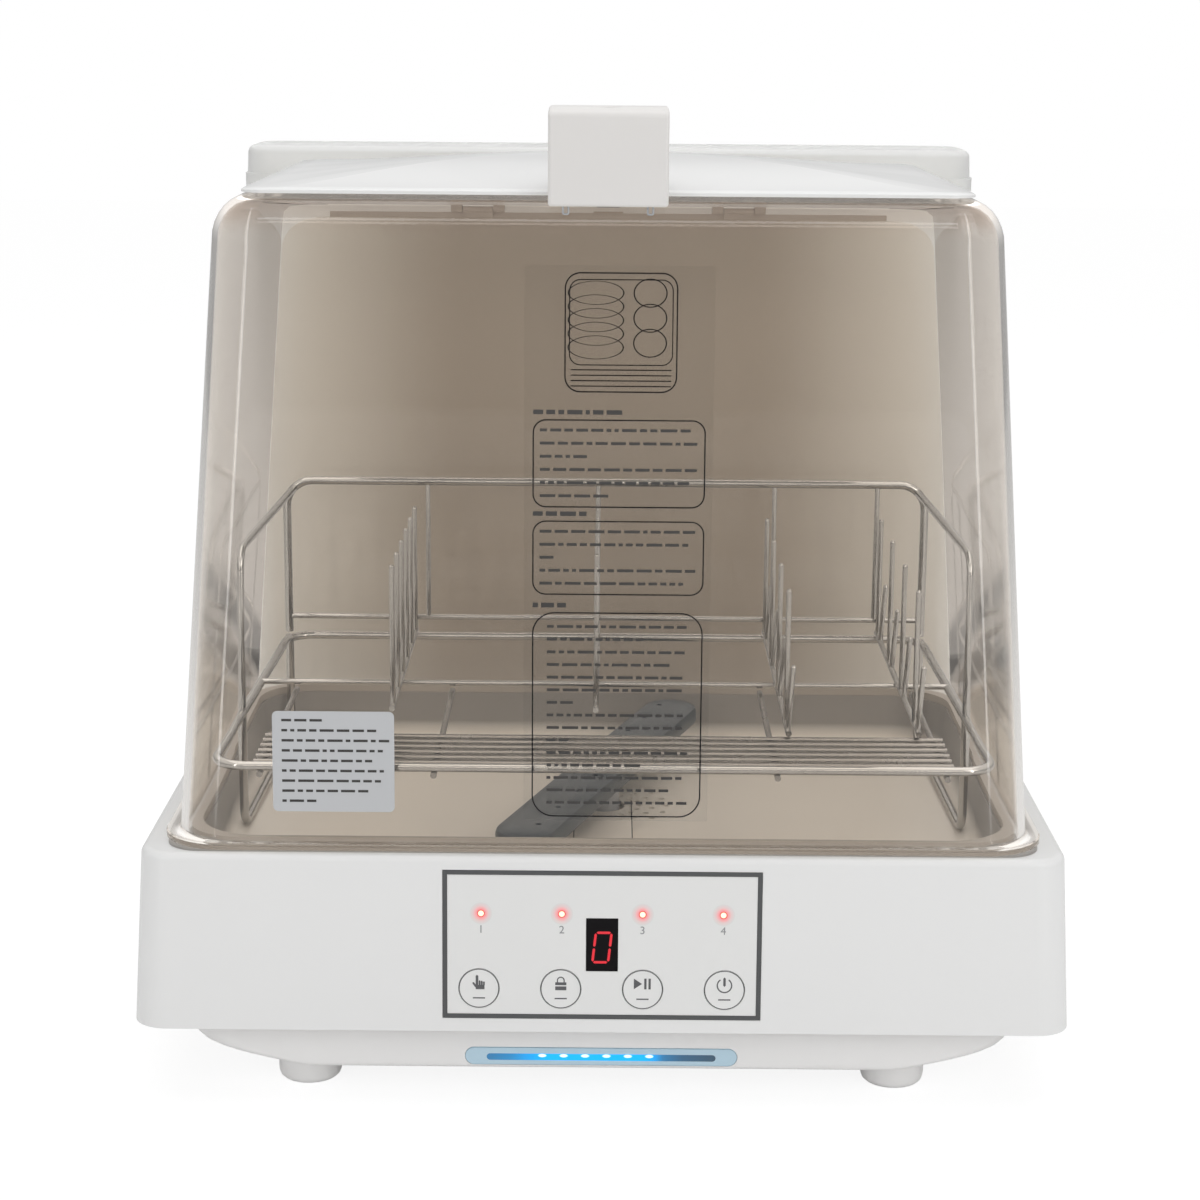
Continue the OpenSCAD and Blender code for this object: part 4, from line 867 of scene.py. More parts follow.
tank = [tank_ring(0, 14, DECK), tank_ring(0, 14, LID_SEAM),
        tank_ring(2, 12, LID_SEAM), tank_ring(2, 12, DECK + 2)]
make_piece("tank_shell", loft(tank), frosted, "base", "frosted_plastic", "water_tank")

cover = [tank_ring(4.3, 11, LID_SEAM + 12), tank_ring(4.3, 11, LID_SEAM - 5),
         tank_ring(2.3, 12, LID_SEAM - 5), tank_ring(2.3, 12, LID_SEAM + 0.2),
         tank_ring(1, 14, LID_SEAM + 0.2)]
for i in range(7):
    a = radians(15 * i)
    pull = 1 + LID_ROUND * (1 - cos(a))
    cover.append(outline(TANK_HALF - pull - 0.6, TANK_FRONT + pull, TANK_REAR - pull, 13,
                         LID_SEAM + 11 + LID_ROUND * sin(a)))
make_piece("tank_cover", loft(cover), frosted, "tank_cover", "frosted_plastic", "tank_lid")


# %% [markdown]
# ## Bent wire with Geometry Nodes
# A rack is wire that follows a path and is bent round a former. A node tree does
# the same: it rounds the corners of a path, sweeps a circle along it and gives it
# a finish. The sizes are inputs with names, so one tree bends every wire.

# %% Tree that bends a wire
def swept(tree, radius, path):
    circle = add(tree, "GeometryNodeCurvePrimitiveCircle", {"Resolution": 12})
    sweep = add(tree, "GeometryNodeCurveToMesh", {"Fill Caps": True})
    link(tree, (radius, circle.inputs["Radius"]), (path, sweep.inputs["Curve"]),
         (circle.outputs["Curve"], sweep.inputs["Profile Curve"]))
    return sweep.outputs["Mesh"]


bend_tree, given, result = new_tree("bent_wire", {
    "Wire radius": "Float", "Bend radius": "Float", "Finish": "Material"})
fillet = add(bend_tree, "GeometryNodeFilletCurve", {"Count": 7, "Limit Radius": True}, mode="POLY")
link(bend_tree, (given["Geometry"], fillet.inputs["Curve"]),
     (given["Bend radius"], fillet.inputs["Radius"]))
wire = swept(bend_tree, given["Wire radius"], fillet.outputs["Curve"])
finish_tree(bend_tree, given, result, wire)


def bent(paths, radius, bend, closed=False):
    curve = bpy.data.curves.new("path", "CURVE")
    curve.dimensions = "3D"
    for points in paths:
        spline = curve.splines.new("POLY")
        spline.points.add(len(points) - 1)
        for spot, p in zip(spline.points, points):
            spot.co = (*(Vector(p) * MM), 1)
        spline.use_cyclic_u = closed
    return run_tree(bpy.data.objects.new("path", curve), bend_tree, {
        "Wire radius": radius * MM, "Bend radius": bend * MM, "Finish": stainless})


# %% [markdown]
# ## Rows of tines with Geometry Nodes
# Every tine in a row is the same pin, a step further back. A second tree puts one
# pin with a round tip at each point of a line, so a row is one call.

# %% Tree that sets a row of pins
row_tree, given, result = new_tree("pin_row", {
    "First": "Vector", "Step": "Vector", "Count": "Int", "Rise": "Vector",
    "Wire radius": "Float", "Finish": "Material"})
line = add(row_tree, "GeometryNodeMeshLine", mode="OFFSET")
stem = add(row_tree, "GeometryNodeCurvePrimitiveLine")
tip = add(row_tree, "GeometryNodeMeshUVSphere", {"Segments": 12, "Rings": 8})
tip_place = add(row_tree, "GeometryNodeTransform")
both = add(row_tree, "GeometryNodeJoinGeometry")
spread = add(row_tree, "GeometryNodeInstanceOnPoints")
link(row_tree, (given["First"], line.inputs["Start Location"]),
     (given["Step"], line.inputs["Offset"]), (given["Count"], line.inputs["Count"]),
     (given["Rise"], stem.inputs["End"]), (given["Wire radius"], tip.inputs["Radius"]),
     (tip.outputs["Mesh"], tip_place.inputs["Geometry"]),
     (given["Rise"], tip_place.inputs["Translation"]),
     (swept(row_tree, given["Wire radius"], stem.outputs["Curve"]), both.inputs["Geometry"]),
     (tip_place.outputs["Geometry"], both.inputs["Geometry"]),
     (line.outputs["Mesh"], spread.inputs["Points"]),
     (both.outputs["Geometry"], spread.inputs["Instance"]))
finish_tree(row_tree, given, result, spread.outputs["Instances"])


def pins(first, step, count, rise, radius):
    holder = bpy.data.objects.new("row", bpy.data.meshes.new("row"))
    return run_tree(holder, row_tree, {
        "First": Vector(first) * MM, "Step": Vector(step) * MM, "Count": count,
        "Rise": Vector(rise) * MM, "Wire radius": radius * MM, "Finish": stainless})

# %% [markdown]
# ## The clips under the handle
# Two small wire clips hold the handle from below. They are bent wire too, so the
# tree of the rack's wires makes them, with a thin wire and a tight bend.

# %% Wire clips
CLIP_X, CLIP_HALF, CLIP_Y, CLIP_TOP, CLIP_LOW = 18.5, 1.2, -168.6, 414, 410.5
clips = [[(x - CLIP_HALF, CLIP_Y, CLIP_TOP), (x - CLIP_HALF, CLIP_Y, CLIP_LOW),
          (x + CLIP_HALF, CLIP_Y, CLIP_LOW), (x + CLIP_HALF, CLIP_Y, CLIP_TOP)]
         for x in (-CLIP_X, CLIP_X)]
make_piece("wire_clips", bent(clips, 0.45, 0.6), zinc, "hood", "grey_plastic", "handle_clips")


# %% [markdown]
# ## The dish rack
# The rack is a lower frame on two runners, an arch at the back with side rails,
# rows of tines for plates on the left and bowls on the right, and a shelf of
# straight wires along the front. Each wire is a short list of corners, and the
# tree above rounds them, so the rack is drawn as a bender would note it down.

# %% Lower frame of the rack
FRAME_WIRE, THIN_WIRE, STEP_DOWN = 2.2, 1.5, 0.2
RACK_Z, RACK_FRONT, RACK_REAR = 158.0, back(22), back(268)
POST_Y, CROSS_Y = back(108), back(166)


def rack_half(y):
    return 180 + (174 - 180) * (y - RACK_FRONT) / (RACK_REAR - RACK_FRONT)


front_half, rear_half, post_half = rack_half(RACK_FRONT), rack_half(RACK_REAR), rack_half(POST_Y)
frame_loop = [(-front_half, RACK_FRONT, RACK_Z), (front_half, RACK_FRONT, RACK_Z),
              (rear_half, RACK_REAR, RACK_Z), (-rear_half, RACK_REAR, RACK_Z)]
runner_z = FLOOR + FRAME_WIRE + 0.3
runners = [[(s * post_half, POST_Y, RACK_Z), (s * post_half, POST_Y, runner_z),
            (s * rear_half, RACK_REAR, runner_z), (s * rear_half, RACK_REAR, RACK_Z)]
           for s in (-1, 1)]
cross_z = RACK_Z + FRAME_WIRE - THIN_WIRE
cross = [(-rack_half(CROSS_Y), CROSS_Y, cross_z), (rack_half(CROSS_Y), CROSS_Y, cross_z)]
lower = joined([bent([frame_loop], FRAME_WIRE, 15, closed=True), bent(runners, FRAME_WIRE, 9),
                bent([cross], THIN_WIRE, 1)])
make_piece("rack_base_wires", lower, stainless, "dish_rack", "stainless", "rack_lower_frame")

# %% Arch and side rails
ARCH_Z, LOW_Z, MID_Z, ARCH_BEND = 246.0, RACK_Z + FRAME_WIRE, RACK_Z + 11, 14.0
weld = ARCH_BEND * (1 - cos(pi / 4))
arch = [(-rear_half, RACK_REAR, LOW_Z), (-rear_half, RACK_REAR, ARCH_Z),
        (rear_half, RACK_REAR, ARCH_Z), (rear_half, RACK_REAR, LOW_Z)]
# The rails end on the middle of the arch's bends, where the real ones are welded.
rails = [[(s * post_half, POST_Y, LOW_Z), (s * post_half, POST_Y, ARCH_Z - 6),
          (s * (rear_half - weld), RACK_REAR, ARCH_Z - weld)] for s in (-1, 1)]
middle = [(-rear_half, RACK_REAR, MID_Z), (rear_half, RACK_REAR, MID_Z)]
stiff = [[(x, RACK_REAR, MID_Z), (x, RACK_REAR, ARCH_Z)] for x in (-97, -4, 92, 148)]
upper = joined([bent([arch], FRAME_WIRE, ARCH_BEND), bent(rails, FRAME_WIRE - STEP_DOWN, 10),
                bent([middle], THIN_WIRE, 1), bent(stiff, THIN_WIRE - STEP_DOWN, 1)])
make_piece("rack_arch_wires", upper, stainless, "dish_rack", "stainless", "rack_upper_frame")

# %% Rows of tines and the shelf
TINE_Z, PIN = RACK_Z + FRAME_WIRE + THIN_WIRE, THIN_WIRE - STEP_DOWN
PLATE_TIP, BOWL_TIP, LOW_TIP = [top - PIN - TINE_Z for top in (233, 228, 194)]
plate_parts, bowl_parts = [], []
for x in (-104, -4):
    plate_parts.append(bent([[(x, back(106), TINE_Z), (x, RACK_REAR, TINE_Z)]], THIN_WIRE, 1))
    plate_parts.append(pins((x, back(112), TINE_Z), (0, 30, 0), 6, (0, 0, PLATE_TIP), PIN))
for x in (88, 150):
    bowl_parts.append(bent([[(x, back(68), TINE_Z), (x, RACK_REAR, TINE_Z)]], THIN_WIRE, 1))
    bowl_parts.append(pins((x, back(88), TINE_Z), (0, 58, 0), 4, (0, 0, BOWL_TIP), PIN))
    bowl_parts.append(pins((x, back(74), TINE_Z), (0, 58, 0), 4, (2, 0, LOW_TIP), PIN))
make_piece("plate_pins", joined(plate_parts), stainless, "dish_rack", "stainless", "plate_tines")
make_piece("bowl_pins", joined(bowl_parts), stainless, "dish_rack", "stainless", "bowl_tines")

BEARER_Z = RACK_Z - FRAME_WIRE - THIN_WIRE
SHELF_Z = BEARER_Z + 2 * THIN_WIRE - 0.4
SHELF_HALF, SHELF_PITCH = 162, 8.4
shelf = [[(side * SHELF_HALF, RACK_FRONT + 10 + i * SHELF_PITCH, SHELF_Z) for side in (-1, 1)]
         for i in range(6)]
shelf += [[(x, RACK_FRONT - 1, BEARER_Z), (x, CROSS_Y + THIN_WIRE, BEARER_Z)]
          for x in (-158, -78, 80, 158)]
# The shelf's wires take the darker copy of the stainless, painted shade.
make_piece("shelf_wires", joined([bent(shelf, THIN_WIRE, 1)]), painted_shade_wire, "dish_rack", "stainless",
           "utensil_shelf")


# %% [markdown]
# ## The control panel
# A pale plate lies in the recess inside a dark border. What is printed on it could
# be part of the finish, but thin flat shapes that stand a few hundredths of a
# millimetre proud keep sharp edges at any distance.

# %% Panel plate, border and window
def face_piece(name, shape, finish, body, slot, *stands_for):
    shape.transform(on_face)
    bmesh.ops.recalc_face_normals(shape, faces=shape.faces)
    return make_piece(name, shape, finish, body, slot, *stands_for)


BORDER, PLATE_GAP = 1.9, 0.1
half, low_z, high_z = PANEL_W / 2, PANEL_RISE, PANEL_RISE + PANEL_H
inner_x, inner_low, inner_high = half - BORDER, low_z + BORDER, high_z - BORDER
border = bmesh.new()
for x0, x1, z0, z1 in ((-half, half, low_z, inner_low), (-half, half, inner_high, high_z),
                       (-half, -inner_x, inner_low, inner_high),
                       (inner_x, half, inner_low, inner_high)):
    block(border, (x0, -0.2, z0), (x1, PLATE_DEEP, z1))
face_piece("panel_border", border, border_grey, "base", "grey_plastic", "panel_frame")

KEY_X = [(i - 1.5) * 37.6 for i in range(4)]
LAMP_X = [(i - 1.5) * 37.0 for i in range(4)]
KEY_Z, LAMP_Z = PANEL_RISE + 14.2, PANEL_RISE + 49.8
KEY_R, LAMP_R = 9.25, 2
WINDOW_HALF, WINDOW_LOW, WINDOW_HIGH = 7.25, PANEL_RISE + 22.8, PANEL_RISE + 47.8
plate, holes = bmesh.new(), bmesh.new()
block(plate, (-inner_x + PLATE_GAP, 0, inner_low + PLATE_GAP),
      (inner_x - PLATE_GAP, PLATE_DEEP, inner_high - PLATE_GAP))
for places, z, radius, steps in ((KEY_X, KEY_Z, KEY_R, 64), (LAMP_X, LAMP_Z, LAMP_R, 32)):
    for x in places:
        rod(holes, (x, -1, z), (x, 3, z), radius + FIT, steps)
block(holes, (-WINDOW_HALF - PLATE_GAP, -1, WINDOW_LOW - PLATE_GAP),
      (WINDOW_HALF + PLATE_GAP, 3, WINDOW_HIGH + PLATE_GAP))
plate_mesh = cut(plate, holes)
plate_mesh.transform(on_face)
soften(make_piece("panel_face", plate_mesh, white_satin, "base", "white_plastic", "panel_plate"),
       0.15, 2)

window = bmesh.new()
block(window, (-WINDOW_HALF, -0.12, WINDOW_LOW), (WINDOW_HALF, 8, WINDOW_HIGH))
soften(face_piece("digit_window", window, window_black, "base", "display", "display_window"), 0.1, 2)

# %% The lit digit
SIGN_Y = (-0.16, -0.11)
DIGIT_SLANT, DIGIT_ARM, DIGIT_HALF, DIGIT_WIDE, DIGIT_GAP = 0.11, 7.0, 3.6, 1.15, 0.9
DIGIT_Z = PANEL_RISE + 34.1
SEGMENTS = (((-1, 1), (1, 1)), ((-1, -1), (1, -1)), ((-1, 0), (-1, 1)), ((1, 0), (1, 1)),
            ((-1, -1), (-1, 0)), ((1, -1), (1, 0)))


def prism(shape, flat):
    near, far = [[shape.verts.new(Vector((x, y, z)) * MM) for x, z in flat] for y in SIGN_Y]
    shape.faces.new(near)
    shape.faces.new(list(reversed(far)))
    for i in range(len(flat)):
        k = (i + 1) % len(flat)
        shape.faces.new((near[i], far[i], far[k], near[k]))


def bar(shape, a, b, width):
    a, b = Vector(a), Vector(b)
    way = (b - a).normalized()
    side = Vector((way.y, -way.x)) * width / 2
    tip = way * width / 2
    prism(shape, [a - tip, a + side, b + side, b + tip, b - side, a - side])


digit = bmesh.new()
for ends in SEGMENTS:
    a, b = [Vector((across * DIGIT_HALF + up * DIGIT_ARM * DIGIT_SLANT, DIGIT_Z + up * DIGIT_ARM))
            for across, up in ends]
    trim = (b - a).normalized() * DIGIT_GAP
    bar(digit, a + trim, b - trim, DIGIT_WIDE)
face_piece("lit_digit", digit, digit_red, "base", "display")


# %% [markdown]
# ## Lamps and keys
# Four small red lamps shine through the plate over plain numbers, and four round
# keys lie below. Each key carries a simple sign: a hand, a lock, start and power.
# The signs are built from a few bars, blocks and rings, so they stay plain.

# %% Lamps, halos and numbers
def hoop(shape, x, z, radius, width, depth, steps=56, start=0.0, sweep=360.0, tall=1.0):
    closed = sweep == 360
    turns = [radians(start + sweep * i / steps) for i in range(steps if closed else steps + 1)]
    rows = []
    for r, y in ((radius, depth[0]), (radius, depth[1]), (radius - width, depth[1]),
                 (radius - width, depth[0])):
        rows.append([shape.verts.new(Vector((x + r * cos(a), y, z + (r * sin(a)) * tall)) * MM)
                     for a in turns])
    for one, two in zip(rows, rows[1:] + rows[:1]):
        band(shape, one, two, closed)
    if not closed:
        shape.faces.new([row[0] for row in rows])
        shape.faces.new([row[-1] for row in reversed(rows)])


def glow_dot(shape, x, z, stops, y_front, y_back, wide=1.0, steps=32):
    layer = shape.verts.layers.float.get("glow") or shape.verts.layers.float.new("glow")
    rows = []
    for radius, value, y in [(*stops[0], y_back)] + [(*stop, y_front) for stop in stops]:
        row = []
        for i in range(steps):
            a = 2 * pi * i / steps
            spot = shape.verts.new(Vector((x + wide * radius * cos(a), y, z + radius * sin(a))) * MM)
            spot[layer] = value
            row.append(spot)
        rows.append(row)
    shape.faces.new(list(reversed(rows[0])))
    shape.faces.new(rows[-1])
    for one, two in zip(rows, rows[1:]):
        band(shape, one, two)


LAMP_STOPS = [(1.75, 0), (1.45, 0.1), (1.15, 0.9), (0.2, 1)]
HALO_STOPS = [(5.2, 0), (3.6, 0.22), (2.2, 0.8), (1.6, 1)]
lamps, halos = bmesh.new(), bmesh.new()
for x in LAMP_X:
    glow_dot(lamps, x, LAMP_Z, LAMP_STOPS, -0.12, 7.9)
    glow_dot(halos, x, LAMP_Z, HALO_STOPS, -0.05, 0.0)
face_piece("red_lamps", lamps, lamp_red, "base", "red_lamp", "indicator_lamps")
face_piece("lamp_glow", halos, lamp_halo, "base", "red_lamp")


def numeral(text, x, z, size):
    curve = bpy.data.curves.new("numeral", "FONT")
    curve.body = text
    curve.size = size * MM
    curve.extrude = 0.02 * MM
    curve.align_x = "CENTER"
    mesh = plain_mesh(bpy.data.objects.new("numeral", curve))
    mesh.transform(Matrix.Translation(Vector((x, -0.03, z)) * MM) @ UPRIGHT)
    return mesh


numbers = joined([numeral(str(i + 1), x, LAMP_Z - 9.2, 5.2) for i, x in enumerate(LAMP_X)])
face_piece("lamp_numbers", numbers, print_grey, "base", "grey_plastic")


# %% Keys and their signs
def sign_block(shape, low, high, lift=0.0):
    block(shape, (low[0], SIGN_Y[0] - lift, low[1]), (high[0], SIGN_Y[1] - lift, high[1]))


def hand_sign(shape):
    bar(shape, (-0.6, -0.6), (-0.6, 2.1), 0.8)
    for i, top in enumerate((0.5, 0.35, 0.15)):
        x = 0.2 + i * 0.66
        bar(shape, (x, -0.8), (x, top), 0.56)
    bar(shape, (-1.75, -0.1), (-0.9, -1.3), 0.6)
    sign_block(shape, (-1.0, -2.1), (1.7, -0.7), 0.005)


def lock_sign(shape):
    sign_block(shape, (-1.7, -2.2), (1.7, -1.0))
    sign_block(shape, (-1.7, -0.6), (1.7, 0.3))
    hoop(shape, 0, 0.9, 1.2, 0.35, SIGN_Y, 20, sweep=180)
    for x in (-1.2, 0.85):
        sign_block(shape, (x, 0.3), (x + 0.35, 0.9))


def start_sign(shape):
    prism(shape, [(-2.7, -1.7), (-2.7, 1.7), (-0.2, 0)])
    for x in (0.5, 1.8):
        sign_block(shape, (x, -1.7), (x + 0.7, 1.7))


def power_sign(shape):
    hoop(shape, 0, -0.3, 2.4, 0.4, SIGN_Y, 36, start=125, sweep=290)
    bar(shape, (0, -0.3), (0, 1.9), 0.75)


SIGN_SIZE, SIGN_RISE, RIM_Y, STEM_R = 1.5, 2.7, (-0.15, -0.1), 2.5
signs = {"select": hand_sign, "lock": lock_sign, "start": start_sign, "power": power_sign}
for x, (key, sign) in zip(KEY_X, signs.items()):
    button, mark = bmesh.new(), bmesh.new()
    rod(button, (x, 2.0, KEY_Z), (x, -0.1, KEY_Z), KEY_R, 64)
    rod(button, (x, 7.2, KEY_Z), (x, 1.9, KEY_Z), STEM_R, 24)
    face_piece(key + "_cap", button, white_satin, key + "_button", "white_plastic", key + "_key")
    sign(mark)
    for v in mark.verts:
        v.co.x = x * MM + v.co.x * SIGN_SIZE
        v.co.z = (KEY_Z + SIGN_RISE) * MM + v.co.z * SIGN_SIZE
    hoop(mark, x, KEY_Z, KEY_R, 0.38, RIM_Y)
    block(mark, (x - 2.8, -0.15, KEY_Z - 4.9), (x + 2.8, -0.11, KEY_Z - 4.3))
    face_piece(key + "_sign", mark, sign_grey, key + "_button", "grey_plastic")

# %% [markdown]
# ## The light strip
# A pale blue lens lies in the pan. Behind it a blue slot glows, with six white
# spots where the diodes sit. The glow is strong in the middle and fades to the
# ends, so the slot is a row of thin slices, and each slice carries its share.

# %% Light strip
lens = capsule(LIGHT_W, LIGHT_H, pan_front - 0.4, pan_front + 3.1, LIGHT_Z)
soften(make_piece("light_cover", lens, strip_pale, "base", "light_strip", "light_lens"), 0.3, 2)
SLOT_HALF, SLOT_BEND, SLOT_Z, SLOT_Y = 53.5, 1.6, LIGHT_Z - 0.3, (-0.46, -0.41)
SLOT_GLOW = ((-54, 0.22), (-42, 0.40), (-30, 0.85), (-24, 1.0), (20, 1.0), (25, 0.7), (29, 0.25),
             (38, 0.08), (54, 0.0))
SPOT_STOPS = [(0.95, 0), (0.6, 0.7), (0.1, 1)]


def glow_at(x):
    for (x0, low), (x1, high) in zip(SLOT_GLOW, SLOT_GLOW[1:]):
        if x <= x1:
            return low + (high - low) * (x - x0) / (x1 - x0)


slot, spots = bmesh.new(), bmesh.new()
layer = slot.verts.layers.float.new("glow")
columns = []
for i in range(73):
    x = SLOT_HALF * sin(radians(-90 + 2.5 * i))
    over = max(0, abs(x) - (SLOT_HALF - SLOT_BEND))
    high = max(0.08, sqrt(max(0, SLOT_BEND * SLOT_BEND - over * over)))
    column = []
    for y, z in ((SLOT_Y[0], -high), (SLOT_Y[0], high), (SLOT_Y[1], high), (SLOT_Y[1], -high)):
        v = slot.verts.new(Vector((x, pan_front + y, SLOT_Z + z)) * MM)
        v[layer] = glow_at(x)
        column.append(v)
    columns.append(column)
for one, two in zip(columns, columns[1:]):
    band(slot, one, two)
slot.faces.new(columns[0])
slot.faces.new(list(reversed(columns[-1])))
for i in range(6):
    glow_dot(spots, -27.5 + i * 10, SLOT_Z + 0.75, SPOT_STOPS, pan_front - 0.54, pan_front - 0.48, 2.3)
for name, shape, finish in (("slot_glow", slot, slot_blue), ("slot_spots", spots, spot_white)):
    bmesh.ops.recalc_face_normals(shape, faces=shape.faces)
    make_piece(name, shape, finish, "base", "light_strip")

# %% [markdown]
# ## The film and the sticker
# A clear film and a silver sticker lie on the front of the hood. Their print is
# left generic: frames and rows of plain strokes, whose lengths come from a fixed
# seed, so they look printed and say nothing. A tree sets one block at each point
# of a row and stretches it to the length that the point carries.

# %% Tree that lays strokes as long as words
word_tree, given, result = new_tree("word_strokes", {
    "Stroke height": "Float", "Ink": "Float", "Finish": "Material"})
span = add(word_tree, "GeometryNodeInputNamedAttribute", {"Name": "span"}, data_type="FLOAT")
size = add(word_tree, "ShaderNodeCombineXYZ")
cube = add(word_tree, "GeometryNodeMeshCube", {"Size": (1, 1, 1)})
lay = add(word_tree, "GeometryNodeInstanceOnPoints")
link(word_tree, (span.outputs["Attribute"], size.inputs["X"]),
     (given["Stroke height"], size.inputs["Y"]), (given["Ink"], size.inputs["Z"]),
     (given["Geometry"], lay.inputs["Points"]), (cube.outputs["Mesh"], lay.inputs["Instance"]),
     (size.outputs["Vector"], lay.inputs["Scale"]))
finish_tree(word_tree, given, result, lay.outputs["Instances"])

# %% Film, sticker and their strokes
INK_Y, INK, INK_AT = (-0.33, -0.29), 0.03, -0.32
SHORTEST, LONGEST, WORD_GAP = 1.8, 7.5, 1.4
hood_lean = atan(9 / (SHOULDER_Z - FOOT))
on_hood = Matrix.Translation(Vector((0, back(12), FOOT)) * MM) @ Matrix.Rotation(-hood_lean, 4, "X")


def words(left, top, width, rows, pitch, height, seed, shares):
    chance = Random(seed)
    spots, spans = [], []
    for row in range(rows):
        x = left
        end = left + width * shares[row % len(shares)]
        while x < end - 2:
            length = min(chance.uniform(SHORTEST, LONGEST), end - x)
            spots.append(((x + length / 2) * MM, (top - row * pitch) * MM, 0))
            spans.append(length * MM)
            x += length + WORD_GAP
    mesh = bpy.data.meshes.new("words")
    mesh.from_pydata(spots, [], [])
    mesh.attributes.new("span", "FLOAT", "POINT").data.foreach_set("value", spans)
    mesh = run_tree(bpy.data.objects.new("words", mesh), word_tree, {
        "Stroke height": height * MM, "Ink": INK * MM, "Finish": print_soft})
    mesh.transform(on_hood @ Matrix.Translation(Vector((0, INK_AT, 0)) * MM) @ UPRIGHT)
    return mesh


def round_box(x, low, width, height, radius, pull=0.0):
    return [(x + a, b) for a, b, _ in outline(width / 2 - pull, low + pull, low + height - pull,
                                              radius - pull, 0)]


def hood_piece(name, shape, finish, slot, *stands_for):
    shape.transform(on_hood)
    bmesh.ops.recalc_face_normals(shape, faces=shape.faces)
    make_piece(name, shape, finish, "hood", slot, *stands_for)


for name, box, finish, slot_name, node in (
        ("clear_film", (5.5, 14, 84, 252, 1), film_clear, "clear_film", "instruction_film"),
        ("silver_sticker", (-123, 17, 55.5, 47, 2.5), sticker_silver, "grey_label", "notice_label")):
    sheet = loft([[(a, y, b) for a, b in round_box(*box)] for y in (-0.27, -0.02)])
    hood_piece(name, sheet, finish, slot_name, node)


# %% Frames and rows of print
def ring_frame(x, low, width, height, radius, line):
    rings = []
    for pull, y in ((0, INK_Y[0]), (0, INK_Y[1]), (line, INK_Y[1]), (line, INK_Y[0])):
        rings.append([(a, y, b) for a, b in round_box(x, low, width, height, radius, pull)])
    return as_mesh(loft(rings, closed_section=True))


# The last two boxes and the rings are a generic sign: a rack seen from above, with
# plates, bowls and its front shelf.
BOXES = ((5.75, 158.4, 77, 39.6, 6, 0.6), (5.75, 118.7, 77, 33.8, 6, 0.6),
         (5.75, 15.6, 77, 95.2, 10, 0.6), (6.2, 210, 50, 53, 7, 0.6), (6.2, 222, 46, 38, 5, 0.45))
frames = joined([ring_frame(*box) for box in BOXES])
for x, count, pitch, radius, tall in ((-5, 5, 6, 12.5, 0.42), (19, 3, 11, 7.5, 0.85)):
    for i in range(count):
        hoop(frames, x, 254 - i * pitch, radius, 0.55, INK_Y, 40, tall=tall)
for i in range(4):
    z = 212.6 + i * 2.4
    block(frames, (-16, INK_Y[0], z), (28.5, INK_Y[1], z + 0.5))
hood_piece("film_frames", frames, print_dark, "black_plastic")
FILM_ROWS = (
    (-29.5, 193.2, 70, 6, 5.9, 1.3, 3, (1, 1, 0.3, 1, 1, 0.45)),
    (-29.5, 147.6, 70, 5, 5.9, 1.3, 5, (1, 1, 0.12, 1, 0.97)),
    (-26, 104.2, 64, 15, 5.85, 1.3, 8, (1, 0.68, 1, 0.9, 1, 1, 0.22, 1, 1, 0.2)),
    (-32.5, 201.2, 40, 1, 5, 2.0, 9, (1,)), (-32.5, 155.6, 24, 1, 5, 2.0, 11, (1,)),
    (-32.5, 114.0, 15, 1, 5, 2.1, 14, (1,)))
STICKER_ROWS = ((-146.5, 59.8, 49, 9, 4.72, 1.15, 12,
                 (0.42, 0.88, 1, 0.94, 0.84, 1, 0.92, 0.86, 0.34)),)
for name, rows in (("film_print", FILM_ROWS), ("sticker_print", STICKER_ROWS)):
    make_piece(name, joined([words(*row) for row in rows]), print_soft, "hood", "black_plastic")

# %% [markdown]
# ## The pieces that keep their solid
# Pumps, hoses, boards and small fittings are simple forms already, so their
# solids stay and only get their finish. To draw them again would add nothing.

# %% Finish the kept solids
KEPT = (
    (light_grey, "spray_stem wash_pump_housing drain_pump_body drain_outlet tank_outlet fan_duct"),
    (slate, "spray_cap wash_pump_impeller drain_pump_impeller fan_rotor"),
    (matt_black, "wash_pump_motor inlet_pump fan_housing power_inlet"),
    (rubber, "wash_hose drain_hose"), (seal_warm, "tub_gasket"),
    (tub_satin, "filter_plate"), (tub_pale, "feed_channel"),
    (stainless, "tub_probes heater"), (warm_rail, "hinge_rail hinge_lugs reed_switch"),
    (zinc, "hinge_pins hood_magnet pan_screws handle_screw"),
    (board_green, "control_board power_board light_board"),
)
kept = {name: finish for finish, names in KEPT for name in names.split()}
for name, finish in kept.items():
    nodes[name].data.materials.clear()
    nodes[name].data.materials.append(finish)
print("kept solids:", len(kept))

# %% [markdown]
# ## Floor and light
# The machine stands on a pale floor in soft even light. The floor keeps a faint
# shadow, and the camera sees the surroundings as plain white. More lamps could
# whiten the background too, but they would wash out the white plastic, so the
# whiteness comes from what a camera ray finds in the floor and the world.

# %% Floor
ground = bmesh.new()
bmesh.ops.create_grid(ground, x_segments=1, y_segments=1, size=6.0)
floor = bpy.data.objects.new("floor", as_mesh(ground, "floor"))
pale, pale_tree, pale_shader = new_finish("pale_floor")
shade_drift(pale_tree, noise_over(pale_tree, 1.5), (0.93, 0.93, 0.93), 0.01,
            pale_shader.inputs["Base Color"])
pale_shader.inputs["Roughness"].default_value = 0.7
rays = add(pale_tree, "ShaderNodeLightPath").outputs
bright = add(pale_tree, "ShaderNodeEmission", {"Strength": 1.15})
share = add(pale_tree, "ShaderNodeMath", {1: 0.75}, operation="MULTIPLY")
seen = either(pale_tree, rays["Is Camera Ray"], rays["Is Transmission Ray"])
link(pale_tree, (seen, share.inputs[0]))
surface = shader_mix(pale_tree, share.outputs["Value"], pale_shader.outputs["BSDF"],
                     bright.outputs["Emission"])
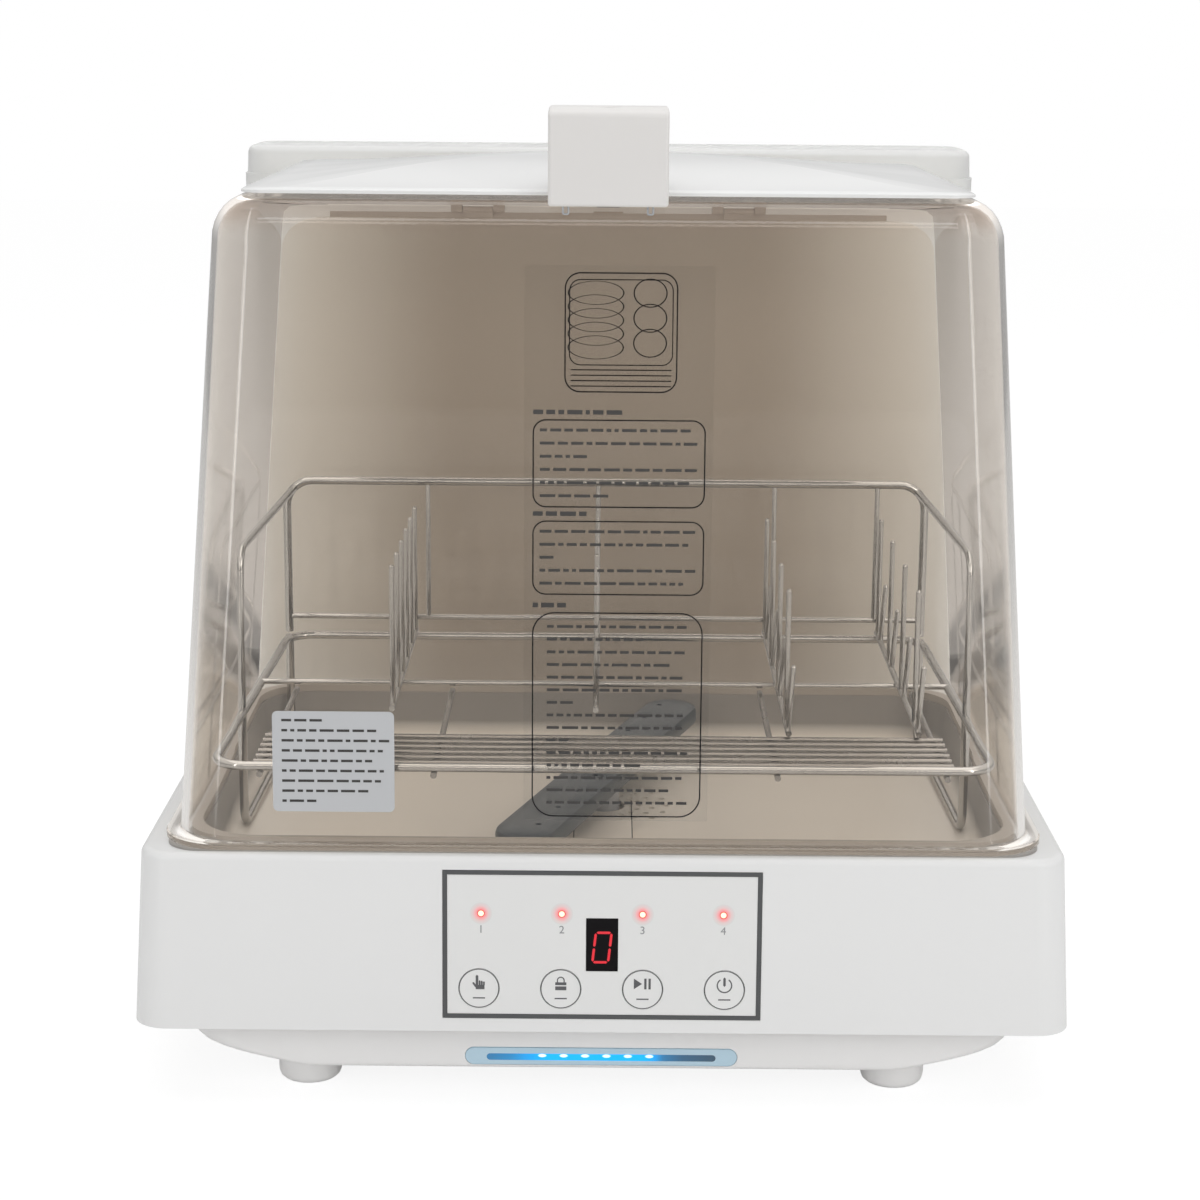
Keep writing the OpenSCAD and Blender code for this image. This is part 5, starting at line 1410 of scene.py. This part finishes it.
link(pale_tree, (surface, pale_tree.nodes["Material Output"].inputs["Surface"]))
floor.data.materials.append(pale)
scene.collection.objects.link(floor)
print("floor laid")

# %% Surroundings
world = bpy.data.worlds.new("studio")
scene.world = world
world.use_nodes = True
sky = world.node_tree
ambient = sky.nodes["Background"]
mirrored, backdrop = add(sky, "ShaderNodeBackground"), add(sky, "ShaderNodeBackground")
for layer in (ambient, mirrored, backdrop):
    layer.inputs["Color"].default_value = (1, 1, 1, 1)
ambient.inputs["Strength"].default_value = 0.505
bearing = add(sky, "ShaderNodeTexCoord")
height = add(sky, "ShaderNodeSeparateXYZ")
rise = add(sky, "ShaderNodeMapRange",
           {"From Min": -0.05, "From Max": 0.45, "To Min": 0.32, "To Max": 1.1})
link(sky, (bearing.outputs["Generated"], height.inputs["Vector"]),
     (height.outputs["Z"], rise.inputs["Value"]),
     (rise.outputs["Result"], mirrored.inputs["Strength"]))
rays = add(sky, "ShaderNodeLightPath").outputs
seen = either(sky, rays["Is Camera Ray"], rays["Is Transmission Ray"])
around = shader_mix(sky, rays["Is Glossy Ray"], ambient.outputs["Background"],
                    mirrored.outputs["Background"])
around = shader_mix(sky, seen, around, backdrop.outputs["Background"])
link(sky, (around, sky.nodes["World Output"].inputs["Surface"]))
print("surroundings made")

# %% Lamps of the studio
LAMPS = (("overhead", (0.0, 0.1, 1.9), 2.4, 2.4, 15.0),
         ("left_front", (-1.0, -1.3, 1.0), 0.9, 0.9, 0.15),
         ("front_strip", (0.0, -2.4, 1.0), 1.7, 0.08, 2.0),
         ("right_front", (1.1, -1.2, 1.0), 0.9, 0.9, 2.9),
         ("left_strip", (-0.95, -1.15, 0.35), 0.10, 1.5, 2.2),
         ("right_strip", (0.95, -1.15, 0.35), 0.10, 1.5, 2.2))
AIM_Z = 0.35
for name, spot, wide, high, power in LAMPS:
    lamp = bpy.data.lights.new(name, "AREA")
    lamp.shape = "RECTANGLE"
    lamp.size = wide
    lamp.size_y = high
    lamp.energy = power
    holder = bpy.data.objects.new(name, lamp)
    holder.location = spot
    holder.rotation_mode = "QUATERNION"
    aim = Vector((0, 0, min(spot[2], AIM_Z))) - Vector(spot)
    holder.rotation_quaternion = aim.to_track_quat("-Z", "Y")
    scene.collection.objects.link(holder)
scene.view_settings.view_transform = "Standard"
print("lamps set:", len(LAMPS))
